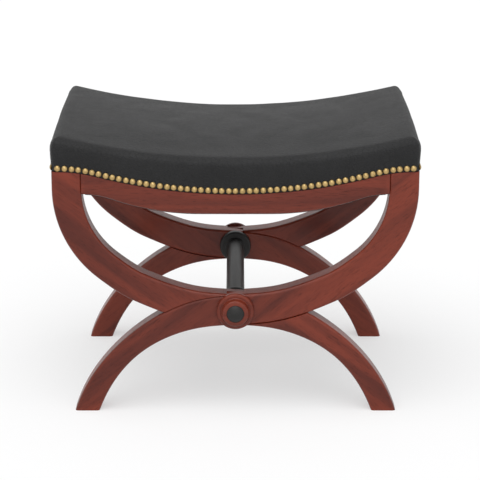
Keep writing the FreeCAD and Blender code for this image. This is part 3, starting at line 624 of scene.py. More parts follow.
def driven_tree(name):
    """Sets a template on every point, facing one way, each a little turned and leaning."""
    tree = bpy.data.node_groups.new(name, "GeometryNodeTree")
    tree.interface.new_socket("Geometry", in_out="INPUT", socket_type="NodeSocketGeometry")
    for label, kind, value in (
        ("Template", "NodeSocketObject", None),
        ("Facing", "NodeSocketVector", (0.0, 0.0, 1.0)),
        ("Tilt", "NodeSocketFloat", 0.0),
        ("Size Spread", "NodeSocketFloat", 0.0),
        ("Seed", "NodeSocketInt", 0),
        ("Finish", "NodeSocketMaterial", None),
    ):
        socket = tree.interface.new_socket(label, in_out="INPUT", socket_type=kind)
        if value is not None:
            socket.default_value = value
    tree.interface.new_socket("Geometry", in_out="OUTPUT", socket_type="NodeSocketGeometry")
    given = add_node(tree, "NodeGroupInput").outputs
    tilt = Value(tree, given["Tilt"])
    spread = Value(tree, given["Size Spread"])
    facing = add_node(tree, "FunctionNodeAlignRotationToVector", {"axis": "Z"}, {"Vector": given["Facing"]})
    lean_low = add_node(tree, "ShaderNodeCombineXYZ", None, {"X": -1.0 * tilt, "Y": -1.0 * tilt, "Z": 0.0})
    lean_high = add_node(tree, "ShaderNodeCombineXYZ", None, {"X": tilt, "Y": tilt, "Z": 2 * math.pi})
    lean = add_node(tree, "FunctionNodeRandomValue", {"data_type": "FLOAT_VECTOR"}, {
        0: lean_low.outputs[0], 1: lean_high.outputs[0], "Seed": given["Seed"],
    })
    leaning = add_node(tree, "FunctionNodeEulerToRotation", None, {"Euler": lean.outputs[0]})
    placed = add_node(tree, "FunctionNodeRotateRotation", {"rotation_space": "LOCAL"}, {
        "Rotation": facing.outputs["Rotation"], "Rotate By": leaning.outputs["Rotation"],
    })
    size = add_node(tree, "FunctionNodeRandomValue", {"data_type": "FLOAT"}, {
        2: 1.0 - spread, 3: 1.0 + spread, "Seed": given["Seed"],
    })
    template = add_node(tree, "GeometryNodeObjectInfo", None, {"Object": given["Template"]})
    copies = add_node(tree, "GeometryNodeInstanceOnPoints", None, {
        "Points": given["Geometry"], "Instance": template.outputs["Geometry"],
        "Rotation": placed.outputs["Rotation"], "Scale": size.outputs[1],
    })
    real = add_node(tree, "GeometryNodeRealizeInstances", None, {"Geometry": copies.outputs["Instances"]})
    dressed = add_node(tree, "GeometryNodeSetMaterial", None, {
        "Geometry": real.outputs["Geometry"], "Material": given["Finish"],
    })
    add_node(tree, "NodeGroupOutput", None, {"Geometry": dressed.outputs["Geometry"]})
    return tree


def drive(name, tree, template, places, facing, tilt, spread, seed, material):
    """A mesh with the template driven in at every place."""
    holder = linked(name, mesh_from(name, places, []))
    modifier = holder.modifiers.new("driven", "NODES")
    modifier.node_group = tree
    given = {
        "Template": template, "Facing": facing, "Tilt": tilt,
        "Size Spread": spread, "Seed": seed, "Finish": material,
    }
    for item in tree.interface.items_tree:
        if item.item_type == "SOCKET" and item.in_out == "INPUT" and item.name in given:
            modifier[item.identifier] = given[item.name]
    return finished(holder)


def head_template(name, diameter, dome, rim_thick):
    """A domed head along +Z: flat back at Z = 0, slightly turned-in rim, dome above."""
    radius = diameter / 2
    ball = (radius ** 2 + (dome - rim_thick) ** 2) / (2 * (dome - rim_thick))
    reach = math.asin(min(1.0, radius / ball))
    steps = 7
    segments = 24
    rings = [(radius * 0.94, 0.0), (radius, 0.35 * rim_thick), (radius, rim_thick)]
    for step in range(1, steps):
        angle = reach * (1 - step / steps)
        rings.append((ball * math.sin(angle), dome - ball + ball * math.cos(angle)))
    points = []
    share = []
    for ring_radius, height in rings:
        for n in range(segments):
            turn = 2 * math.pi * n / segments
            points.append((ring_radius * math.cos(turn), ring_radius * math.sin(turn), height))
            share.append(min(1.0, ring_radius / radius))
    top = len(points)
    points += [(0.0, 0.0, dome), (0.0, 0.0, 0.0)]
    share += [0.0, 1.0]
    faces = []
    for ring in range(len(rings) - 1):
        for n in range(segments):
            here = ring * segments + n
            after = ring * segments + (n + 1) % segments
            faces.append((here, after, after + segments, here + segments))
    last = (len(rings) - 1) * segments
    for n in range(segments):
        after = (n + 1) % segments
        faces.append((last + n, last + after, top))
        faces.append((after, n, top + 1))
    mesh = mesh_from(name, points, faces)
    write_shares(mesh, "rim", share)
    return linked(name, mesh)


def drive_rows(rows, template, height, spread, seed, slot, material):
    """Drives a head of this height in wherever a solid of a row's node shows its own."""
    tree = bpy.data.node_groups.get("driven_heads") or driven_tree("driven_heads")
    for number, (node, facing) in enumerate(rows):
        way = Vector(facing)
        places = []
        for points in islands(node):
            low, high = box_of(points)
            middle = (low + high) / 2
            outermost = max(point.dot(way) for point in points)
            places.append(middle + way * (outermost - height - middle.dot(way)))
        name = node + "_heads"
        mesh = drive(name, tree, template, places, facing, sizes().nail_tilt, spread, seed + number,
                     material)
        piece_from(mesh, name, slot, material, node)
    bpy.data.objects.remove(template)


# The seat's form

# The end rounding keeps the cover's highest line just inside each end
END_LIFT = 0.35 * MM
# The hem's heights are read inside the leather's thickness and short of its upright corners
HEM_DEPTH = 0.8 * MM
HEM_SHORT = 10 * MM
HEM_PLACES = 120


class SeatForm:
    """Plan, dip and crown of the upholstery, taken in by inset."""

    def __init__(self, inset=0.0, droop=0.0):
        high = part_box("leather_cover")[1]
        s = sizes()
        self.half_x = high.x - inset
        self.half_y = high.y - inset
        self.corner = s.corner_radius - inset
        self.front_round = s.front_round - inset
        self.end_round = s.end_round - inset
        self.crown = s.crown
        self.droop = droop
        self.barrel = s.side_belly
        self.top_radius = s.sweep_radius - s.crown
        rise = self.top_radius - math.sqrt(self.top_radius ** 2 - (high.x - s.end_round) ** 2)
        self.middle_height = high.z - rise + END_LIFT - inset
        self.reach = high.x - HEM_SHORT
        self.hem = self.hem_line(high)

    def hem_line(self, high):
        """Heights of the leather's lower edge, at even places from end to end."""
        probe = Probe("leather_cover")
        return [probe.underside((2 * n / HEM_PLACES - 1) * self.reach, -(high.y - HEM_DEPTH))
                for n in range(HEM_PLACES + 1)]

    def lid(self, x, y):
        """Height of the seat's top, before its edges are rounded."""
        dip = self.top_radius - math.sqrt(self.top_radius ** 2 - x ** 2)
        crown = self.crown * (y / self.half_y) ** 2
        free = (1 - (x / self.half_x) ** 4) * (1 - (y / self.half_y) ** 2)
        return self.middle_height + dip - crown - self.droop * free

    def hem_height(self, x):
        place = (min(max(x / self.reach, -1.0), 1.0) + 1) / 2 * (len(self.hem) - 1)
        before = min(int(place), len(self.hem) - 2)
        share = place - before
        return self.hem[before] * (1 - share) + self.hem[before + 1] * share

    def side_length(self, half):
        return 2 * (half - self.corner) + math.pi * self.corner / 2

    def plan(self, side, share):
        """Point and outward way on the plan, side 0 to 3 from the front, share 0 to 1 along it."""
        along, across = (self.half_x, self.half_y) if side % 2 == 0 else (self.half_y, self.half_x)
        length = self.side_length(along)
        run = share * length
        eighth = math.pi * self.corner / 4
        straight = length - 2 * eighth
        if run < eighth:
            angle = math.pi / 4 - run / self.corner
            place = Vector((-(along - self.corner), -(across - self.corner)))
            way = Vector((-math.sin(angle), -math.cos(angle)))
        elif run > eighth + straight:
            angle = (run - eighth - straight) / self.corner
            place = Vector((along - self.corner, -(across - self.corner)))
            way = Vector((math.sin(angle), -math.cos(angle)))
        else:
            place = Vector((run - eighth - (along - self.corner), -(across - self.corner)))
            way = Vector((0.0, -1.0))
        point = place + way * self.corner
        turn = Matrix.Rotation(side * math.pi / 2, 2)
        return turn @ point, turn @ way

    def drop(self, x, y):
        """How far the rounded edges lower the top at this place."""
        from_end = max(0.0, self.half_x - abs(x))
        from_front = max(0.0, self.half_y - abs(y))
        past = Vector((self.corner - from_end, self.corner - from_front))
        if past.x > 0 and past.y > 0:
            inside = max(0.0, self.corner - past.length)
        else:
            inside = min(from_end, from_front)
        ends = from_front ** 2 / max(from_end ** 2 + from_front ** 2, 1e-12)
        radius = self.front_round + (self.end_round - self.front_round) * ends
        short = max(0.0, radius - inside)
        return radius - math.sqrt(max(0.0, radius ** 2 - short ** 2))


def crowded(share, strength=0.6):
    """Moves even shares of a side towards its two corners."""
    return share - strength * math.sin(2 * math.pi * share) / (2 * math.pi)


class SeatGrid:
    """Points and faces of the upholstery: a lattice on top, then rings over the edge and down."""

    ARC_STEPS = 6
    BAND_STEPS = 2
    SIDE_STEPS = 8
    # The lattice ends this far inside the end rounding
    PAST_ROUND = 12 * MM
    # Shares of a side's height: where its belly is widest, and how far from there it is gone
    BELLY_AT = 0.2
    BELLY_FADE = 0.5

    def __init__(self, form, across, back):
        self.form = form
        self.across = across
        self.back = back
        self.points = []
        self.faces = []
        self.band = form.end_round + self.PAST_ROUND
        self.lattice(form.lid)
        ring = self.edge_ring(0)
        for level in self.levels():
            ring = self.add_ring(ring, level)
        self.skin_points = len(self.points)
        self.skin_faces = len(self.faces)
        self.lattice(lambda x, y: form.hem_height(x), flipped=True)
        self.join(ring, self.edge_ring(self.skin_points))

    def station(self, share, half):
        return (2 * crowded(share) - 1) * (half - self.band)

    def lattice(self, height, flipped=False):
        faces = lattice_faces(self.across, self.back, len(self.points))
        self.faces += [face[::-1] for face in faces] if flipped else faces
        for j in range(self.back + 1):
            y = self.station(j / self.back, self.form.half_y)
            for i in range(self.across + 1):
                x = self.station(i / self.across, self.form.half_x)
                self.points.append(Vector((x, y, height(x, y))))

    def edge_ring(self, start):
        """Indices round the lattice's rim, from the front left corner, counter-clockwise."""
        wide = self.across + 1
        front = [start + i for i in range(self.across)]
        right = [start + j * wide + self.across for j in range(self.back)]
        rear = [start + self.back * wide + i for i in range(self.across, 0, -1)]
        left = [start + j * wide for j in range(self.back, 0, -1)]
        return front + right + rear + left

    def levels(self):
        """Each level is (share of the band crossed, share of the side gone down)."""
        reach = self.form.end_round / self.band
        for step in range(1, self.BAND_STEPS + 1):
            yield (1 - reach) * step / self.BAND_STEPS, 0.0
        for step in range(1, self.ARC_STEPS + 1):
            yield 1 - reach * (1 - math.sin(math.pi / 2 * step / self.ARC_STEPS)), 0.0
        for step in range(1, self.SIDE_STEPS + 1):
            yield 1.0, step / self.SIDE_STEPS

    def add_ring(self, before, level):
        crossed, down = level
        rim = self.edge_ring(0)
        ring = []
        number = 0
        for side in range(4):
            count = self.across if side % 2 == 0 else self.back
            for n in range(count):
                edge, way = self.form.plan(side, crowded(n / count))
                place = self.points[rim[number]].to_2d().lerp(edge, crossed)
                height = self.form.lid(*place) - self.form.drop(*place)
                height += (self.form.hem_height(edge.x) - height) * down
                place += way * self.form.barrel * self.belly(crossed, down)
                ring.append(len(self.points))
                self.points.append(Vector((place.x, place.y, height)))
                number += 1
        self.join(before, ring)
        return ring

    def belly(self, crossed, down):
        """1 where a side stands proudest, 0 at the nails and on top."""
        if down == 0.0:
            return 0.7 * crossed ** 8
        past = abs(down - self.BELLY_AT) / self.BELLY_FADE
        return max(0.0, math.cos(math.pi / 2 * min(1.0, past))) ** 1.5

    def join(self, before, after):
        count = len(before)
        for n in range(count):
            following = (n + 1) % count
            self.faces.append((before[following], before[n], after[n], after[following]))


def swell(grid, pins, limit):
    """Lets the closed pad swell as cloth, with the pinned points held, and caps each move."""
    frames = 20
    holder = linked("pad_to_swell", mesh_from("pad_to_swell", grid.points, grid.faces))
    group = holder.vertex_groups.new(name="held")
    for index, weight in enumerate(pins):
        group.add([index], weight, "REPLACE")
    cloth = holder.modifiers.new("cloth", "CLOTH")
    cloth.settings.vertex_group_mass = "held"
    cloth.settings.use_pressure = True
    cloth.settings.uniform_pressure_force = 0.4
    cloth.settings.quality = 6
    cloth.settings.bending_stiffness = 2.0
    cloth.settings.effector_weights.gravity = 0.0
    cloth.point_cache.frame_start = 1
    cloth.point_cache.frame_end = frames
    scene = bpy.context.scene
    for number in range(1, frames + 1):
        scene.frame_set(number)
    graph = bpy.context.evaluated_depsgraph_get()
    swollen = [vertex.co.copy() for vertex in holder.evaluated_get(graph).data.vertices]
    scene.frame_set(1)
    moved = []
    for start, end in zip(grid.points, swollen):
        step = end - start
        if step.length > limit:
            step = step.normalized() * limit
        moved.append(start + step)
    bpy.data.objects.remove(holder)
    return moved


def hand_pull(point, upright, seed):
    """How far uneven padding lifts the leather at a point, less where it stands upright."""
    offset = Vector((seed * 3.7, seed * 1.3, 0.0))
    broad = noise.noise(point * 9.0 + offset)
    small = noise.noise(point * 28.0 + offset)
    return (0.9 * broad + 0.35 * small) * MM * (1 - 0.6 * upright)


# The folded leather on the end faces: how deep these reach, where the fold's edge is at the hem,
# how far it leans from the corner over its rise, and how wide the fold and its edge are
END_FACE = 6 * MM
FOLD_AT_HEM = 17 * MM
FOLD_LEAN = 5 * MM
FOLD_RISE = 40 * MM
FOLD_WIDTH = 16 * MM
FOLD_EDGE = 1 * MM
# It starts this far below the seat's top edge and has its full height after the fade
FOLD_START = 4 * MM
FOLD_FADE = 14 * MM


def pleat_lift(point, form, height, hem):
    """How far the fold beside each corner stands out: it rises to its edge, then steps down."""
    if abs(point.x) <= form.half_x - END_FACE:
        return 0.0
    from_corner = form.half_y - abs(point.y)
    fold = FOLD_AT_HEM + FOLD_LEAN * max(0.0, point.z - hem) / FOLD_RISE
    if from_corner > fold + FOLD_EDGE or from_corner < fold - FOLD_WIDTH:
        return 0.0
    if from_corner > fold:
        share = 1 - (from_corner - fold) / FOLD_EDGE
    else:
        share = 1 - (fold - from_corner) / FOLD_WIDTH
    below_edge = form.lid(math.copysign(form.half_x - form.end_round, point.x), point.y) - point.z
    fade = min(max((below_edge - FOLD_START) / FOLD_FADE, 0.0), 1.0)
    return height * share * share * fade


# Operators, one for each piece or group of pieces

class STOOL_OT_set_stage(bpy.types.Operator):
    """Sets the camera, the soft lamps, the pale floor and the white surroundings"""
    bl_idname = "stool.set_stage"
    bl_label = "Set the Stage"

    def execute(self, context):
        stage = context.scene.stool_stage
        self.place_camera(context, stage)
        self.hang_lamps(context, stage)
        self.light_room(context, stage)
        self.lay_floor(context, stage)
        context.scene.view_settings.view_transform = "Standard"
        return {"FINISHED"}

    def place_camera(self, context, stage):
        data = bpy.data.cameras.new("camera")
        data.sensor_width = 36.0
        data.lens = PHOTO_LENS_PIXELS / PHOTO_SIZE * data.sensor_width
        data.shift_x = (PHOTO_SIZE / 2 - PHOTO_MIDDLE_X) / PHOTO_SIZE
        data.clip_end = 50.0
        camera = bpy.data.objects.new("camera", data)
        camera.location = (0.0, -stage.camera_distance, stage.camera_height)
        camera.rotation_euler = (math.pi / 2 - stage.camera_pitch, 0.0, 0.0)
        context.scene.collection.objects.link(camera)
        context.scene.camera = camera

    def hang_lamps(self, context, stage):
        for name, strength, pitch, heading, spread in (
            ("key_lamp", stage.key_light, 20, -20, 60),
            ("fill_lamp", stage.fill_light, 72, 10, 70),
        ):
            data = bpy.data.lights.new(name, "SUN")
            data.energy = strength
            data.angle = math.radians(spread)
            lamp = bpy.data.objects.new(name, data)
            lamp.rotation_euler = Euler((math.radians(pitch), 0.0, math.radians(heading)))
            context.scene.collection.objects.link(lamp)

    def light_room(self, context, stage):
        world = bpy.data.worlds.new("room")
        context.scene.world = world
        world.use_nodes = True
        tree = world.node_tree
        tree.nodes.clear()
        seen = self.seen(tree)
        light = add_node(tree, "ShaderNodeBackground", None, {"Strength": stage.room_light})
        white = add_node(tree, "ShaderNodeBackground", None, {"Strength": 1.0})
        for node in (light, white):
            node.inputs["Color"].default_value = (1.0, 1.0, 1.0, 1.0)
        both = add_node(tree, "ShaderNodeMixShader", None, {
            0: seen, 1: light.outputs[0], 2: white.outputs[0],
        })
        add_node(tree, "ShaderNodeOutputWorld", None, {"Surface": both.outputs[0]})

    def seen(self, tree):
        """1 for what the camera sees, also in a reflection or through glass."""
        path = add_node(tree, "ShaderNodeLightPath").outputs
        seen = Value(tree, path["Is Camera Ray"]).larger(Value(tree, path["Is Glossy Ray"]))
        return seen.larger(Value(tree, path["Is Transmission Ray"]))

    def lay_floor(self, context, stage):
        half = 30.0
        corners = [(-half, -half, 0), (half, -half, 0), (half, half, 0), (-half, half, 0)]
        floor = linked("floor", mesh_from("floor", corners, [(0, 1, 2, 3)], smooth=False))
        made = Finish("pale_floor")
        speckle = made.noise(made.place, 3.0, 2.0)
        made.set(Base_Color=made.mix(speckle, stage.floor, shade(stage.floor, 0.99)),
                 Roughness=0.6, Specular_IOR_Level=0.0)
        white = made.node("ShaderNodeEmission", None, {"Strength": 1.0})
        glow = made.node("ShaderNodeMixShader", None, {
            0: self.seen(made.tree) * stage.floor_glow,
            1: made.shader.outputs[0], 2: white.outputs[0],
        })
        output = next(node for node in made.tree.nodes if node.type == "OUTPUT_MATERIAL")
        made.tree.links.new(glow.outputs[0], output.inputs["Surface"])
        floor.data.materials.append(made.material)


class STOOL_OT_polish_frame(bpy.types.Operator):
    """Gives the S-shaped legs and the seat rails smooth faces and a polished wood finish"""
    bl_idname = "stool.polish_frame"
    bl_label = "Polish Legs and Rails"

    # Grain runs from a leg's foot to its arm, and along each rail
    LEG_GRAIN = math.radians(38)
    # How far a rounded edge slants where it is rubbed most, and over how much slant that fades
    EDGE_SLANT = 0.7
    EDGE_FADE = 0.3
    PIECES = (
        ("front_leg_left", (0.0, LEG_GRAIN, 0.0)),
        ("rear_leg_left", (0.0, LEG_GRAIN, 0.0)),
        ("front_leg_right", (0.0, -LEG_GRAIN, 0.0)),
        ("rear_leg_right", (0.0, -LEG_GRAIN, 0.0)),
        ("front_seat_rail", (0.0, 0.0, 0.0)),
        ("rear_seat_rail", (0.0, 0.0, 0.0)),
        ("left_seat_rail", (0.0, 0.0, math.radians(90))),
        ("right_seat_rail", (0.0, 0.0, math.radians(90))),
    )

    def execute(self, context):
        for number, (node, turn) in enumerate(self.PIECES):
            mesh = self.smooth_copy(node)
            shift = (0.37 * number, 0.11 * number, 0.05 * number)
            piece_from(mesh, node + "_polished", "show_wood",
                       polished_wood("polished_" + node, turn, shift), node)
        return {"FINISHED"}

    def smooth_copy(self, node):
        """The node's mesh with its corners merged and its shading kept; rim marks the rounded edges."""
        mesh = frame["nodes"][node].data.copy()
        shading = mesh.attributes.new("shading", "FLOAT_VECTOR", "CORNER")
        for corner, normal in zip(shading.data, mesh.corner_normals):
            corner.vector = normal.vector
        work = bmesh.new()
        work.from_mesh(mesh)
        bmesh.ops.remove_doubles(work, verts=work.verts, dist=TOUCHING)
        work.normal_update()
        slant = [abs(vertex.normal.y) for vertex in work.verts]
        work.to_mesh(mesh)
        work.free()
        mesh.shade_smooth()
        shading = mesh.attributes["shading"]
        mesh.normals_split_custom_set([corner.vector.copy() for corner in shading.data])
        mesh.attributes.remove(shading)
        write_shares(mesh, "rim", [max(0.0, 1 - abs(value - self.EDGE_SLANT) / self.EDGE_FADE)
                                   for value in slant])
        return mesh


class STOOL_OT_turn_bosses(bpy.types.Operator):
    """Turns the two bosses that cover the crossings"""
    bl_idname = "stool.turn_bosses"
    bl_label = "Turn Bosses"

    BACK = 0.2 * MM
    RIM = 9 * MM
    NECK = 23 * MM
    GROOVE_WIDTH = 2.4 * MM
    GROOVE_DEPTH = 0.8 * MM
    SEAT_DEPTH = 4 * MM

    def execute(self, context):
        for number, node in enumerate(("front_boss", "rear_boss")):
            name = node + "_turned"
            mesh = turned(name, self.outline(node), 96)
            set_on_node(mesh, node)
            write_shares(mesh, "rim", [0.0] * len(mesh.vertices))
            piece_from(mesh, name, "show_wood",
                       polished_wood("polished_" + node, (0, 0, 0), (0.2 * number + 3, 0.4, 0.7)), node)
        return {"FINISHED"}

    def outline(self, node):
        radius, height = turned_size(node)
        seat = turned_size(node.replace("boss", "button"))[0]
        groove = self.NECK + self.GROOVE_WIDTH
        groove_floor = self.RIM - self.GROOVE_DEPTH
        return Outline(
            (0.0, self.BACK, 0),
            (radius, self.BACK, 0.3 * MM),
            (radius, self.RIM, 3.8 * MM),
            (groove, self.RIM, 0.4 * MM),
            (groove, groove_floor, 0.2 * MM),
            (self.NECK, groove_floor, 3.6 * MM),
            (self.NECK, height, 3.8 * MM),
            (seat, height, 0.3 * MM),
            (seat, height - self.SEAT_DEPTH, 0),
            (0.0, height - self.SEAT_DEPTH, 0),
        )


class STOOL_OT_turn_stretcher(bpy.types.Operator):
    """Turns the black rod with its collars, and the two black buttons"""
    bl_idname = "stool.turn_stretcher"
    bl_label = "Turn Stretcher and Buttons"

    ROD = 16 * MM
    TENON = 10 * MM
    COLLAR_LENGTH = 13 * MM
    BEAD = 3 * MM
    BEAD_PROUD = 1.2 * MM
    # Room between the collars and the legs, and between a button and its seat
    LEG_ROOM = 0.3 * MM
    SEAT_ROOM = 0.1 * MM
    BUTTON_DOME = 6 * MM

    def execute(self, context):
        material = black_stained_wood()
        self.rod(material)
        for node in ("front_button", "rear_button"):
            self.button(node, material)
        return {"FINISHED"}

    def rod(self, material):
        low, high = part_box("stretcher")
        collar = turned_size("stretcher")[0]
        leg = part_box("rear_leg_left")[0].y
        inner = leg - self.COLLAR_LENGTH
        shoulder = leg - self.LEG_ROOM
        one_end = (
            (self.ROD, inner - 3 * self.BEAD, 2 * MM),
            (self.ROD - 0.9 * MM, inner - 2 * self.BEAD, 0.5 * MM),
            (self.ROD + self.BEAD_PROUD, inner - 1.6 * self.BEAD, 0.9 * MM),
            (self.ROD + self.BEAD_PROUD, inner - 0.9 * self.BEAD, 0.9 * MM),
            (self.ROD, inner, 2.5 * MM),
            (collar, inner, 4.8 * MM),
            (collar, shoulder, 0.8 * MM),
            (self.TENON, shoulder, 0),
            (self.TENON, high.y, 0),
            (0.0, high.y, 0),
        )
        other_end = tuple((radius, -along, rounding) for radius, along, rounding in reversed(one_end))
        mesh = turned("stretcher_turned", Outline(*other_end, *one_end))
        middle = (low.z + high.z) / 2
        for vertex in mesh.vertices:
            vertex.co.z += middle
        piece_from(mesh, "stretcher_turned", "black_wood", material, "stretcher")

    def button(self, node, material):
        radius, height = turned_size(node)
        steps = 9
        ball = (radius ** 2 + self.BUTTON_DOME ** 2) / (2 * self.BUTTON_DOME)
        reach = math.asin(radius / ball)
        corners = [(0.0, 0.0, 0), (radius - self.SEAT_ROOM, 0.0, 0)]
        for step in range(steps + 1):
            angle = reach * (1 - step / steps)
            corners.append((max(0.0, ball * math.sin(angle) - self.SEAT_ROOM),
                            height - ball + ball * math.cos(angle), 0))
        mesh = turned(node + "_turned", Outline(*corners), 64)
        mesh.shade_smooth()
        set_on_node(mesh, node)
        piece_from(mesh, node + "_turned", "black_wood", material, node)


class STOOL_OT_glue_blocks(bpy.types.Operator):
    """Finishes the corner blocks, dowels and screws out of sight"""
    bl_idname = "stool.glue_blocks"
    bl_label = "Glue Blocks and Dowels"

    # The blocks lie across the frame's corners
    BLOCK_GRAIN = math.radians(38)

    def execute(self, context):
        blocks = plain_beech("beech_blocks", (0.0, 0.0, self.BLOCK_GRAIN))
        dowels = plain_beech("beech_dowels", (0.0, 0.0, 0.0))
        side_dowels = plain_beech("beech_side_dowels", (0.0, 0.0, math.radians(90)))
        screws = dull_metal("zinc_screws", (0.55, 0.55, 0.53), 0.3)
        for name, node in frame["nodes"].items():
            if name.startswith("corner_block_screws"):
                wear = screws
            elif name.startswith("corner_block"):
                wear = blocks
            elif name == "side_rail_dowels":
                wear = side_dowels
            elif name.endswith("dowels"):
                wear = dowels
            else:
                continue
            node.data.materials.clear()
            node.data.materials.append(wear)
        return {"FINISHED"}


class STOOL_OT_lace_webbing(bpy.types.Operator):
    """Stretches the jute straps from front rail to rear rail"""
    bl_idname = "stool.lace_webbing"
    bl_label = "Stretch Webbing"

    ACROSS = 10
    BACK = 60
    THICKNESS = 1.4 * MM
    EDGE_ROOM = 0.3 * MM
    RAIL_ROOM = 0.2 * MM
    SAG = 1.2 * MM
    RIPPLE = 0.15 * MM
    # Colour of the two woven stripes, their place from the strap's middle line and their half width
    STRIPE = ((0.12, 0.03, 0.02), 0.7, 0.05)

    def execute(self, context):
        material = woven("jute_webbing", finish_settings().jute, 1.6 * MM, 0.5 * MM, stripe=self.STRIPE)
        straps = sorted((box_of(points) for points in islands("webbing_straps")),
                        key=lambda pair: pair[0].x)
        probe = Probe("webbing_straps")
        for number, (low, high) in enumerate(straps, start=1):
            piece = self.strap(number, low, high, probe, material)
        return {"FINISHED"}

    def strap(self, number, low, high, probe, material):
        points = []
        lanes = []
        for j in range(self.BACK + 1):
            share = j / self.BACK
            y = low.y + (high.y - low.y) * share
            sag = -self.SAG * math.sin(math.pi * share)
            for i in range(self.ACROSS + 1):
                lane = i / self.ACROSS
                x = low.x + self.EDGE_ROOM + (high.x - low.x - 2 * self.EDGE_ROOM) * lane
                ripple = self.RIPPLE * noise.noise(Vector((x * 60, y * 25, number)))
                height = probe.underside(x, low.y + 1 * MM)
                points.append((x, y, height + self.RAIL_ROOM + sag + ripple))
                lanes.append(abs(2 * lane - 1))
        name = "webbing_strap_%d" % number
        mesh = mesh_from(name, points, lattice_faces(self.ACROSS, self.BACK))
        write_shares(mesh, "lane", lanes)
        return piece_from(thickened(mesh, self.THICKNESS), name, "webbing", material, "webbing_straps")


class STOOL_OT_lay_hessian(bpy.types.Operator):
    """Lays the hessian over the webbing"""
    bl_idname = "stool.lay_hessian"
    bl_label = "Lay Hessian"

    ACROSS = 100
    BACK = 64
    CORNER = 10 * MM
    THICKNESS = 0.7 * MM
    STRAP_ROOM = 0.15 * MM
    RIPPLE = 0.08 * MM

    def execute(self, context):
        material = woven("hessian_cloth", finish_settings().jute, 1.9 * MM, 0.4 * MM)
        low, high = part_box("hessian")
        probe = Probe("hessian")
        points = []
        for j in range(self.BACK + 1):
            y = low.y + (high.y - low.y) * j / self.BACK
            for i in range(self.ACROSS + 1):
                x = low.x + (high.x - low.x) * i / self.ACROSS
                x_in, y_in = self.rounded_in(x, y, high)
                height = probe.underside(min(max(x_in, low.x + 1 * MM), high.x - 1 * MM), 0.0)
                ripple = self.RIPPLE * noise.noise(Vector((x * 40, y * 40, 2.0)))
                points.append((x_in, y_in, height + self.STRAP_ROOM + ripple))
        flat = mesh_from("hessian_flat", points, lattice_faces(self.ACROSS, self.BACK))
        piece = piece_from(thickened(flat, self.THICKNESS), "hessian_cloth", "hessian", material, "hessian")
        return {"FINISHED"}

    def rounded_in(self, x, y, high):
        """The place, drawn in where it lies past one of the cloth's round corners."""
        past = Vector((max(0.0, abs(x) - high.x + self.CORNER), max(0.0, abs(y) - high.y + self.CORNER)))
        if past.length <= self.CORNER:
            return x, y
        drawn = past.normalized() * self.CORNER
        x_in = math.copysign(high.x - self.CORNER + drawn.x, x) if past.x else x
        y_in = math.copysign(high.y - self.CORNER + drawn.y, y) if past.y else y
        return x_in, y_in


class STOOL_OT_pad_seat(bpy.types.Operator):
    """Shapes the crowned foam under the leather"""
    bl_idname = "stool.pad_seat"
    bl_label = "Pad the Seat"

    INSET = 4.2 * MM
    BED_ROOM = 0.1 * MM

    def execute(self, context):
        grid = SeatGrid(SeatForm(inset=self.INSET, droop=sizes().slack_start), 48, 34)
        bed = Probe("seat_padding")
        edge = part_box("seat_padding")[1].x - 3 * MM
        for point in grid.points:
            x = min(max(point.x, -edge), edge)
            point.z = max(point.z, bed.underside(x, 0.0) + self.BED_ROOM)
        mesh = mesh_from("foam_pad", grid.points, grid.faces)
        face_outwards(mesh)
        mesh.shade_smooth()
        piece = piece_from(mesh, "foam_pad", "padding", foam(), "seat_padding")
        return {"FINISHED"}


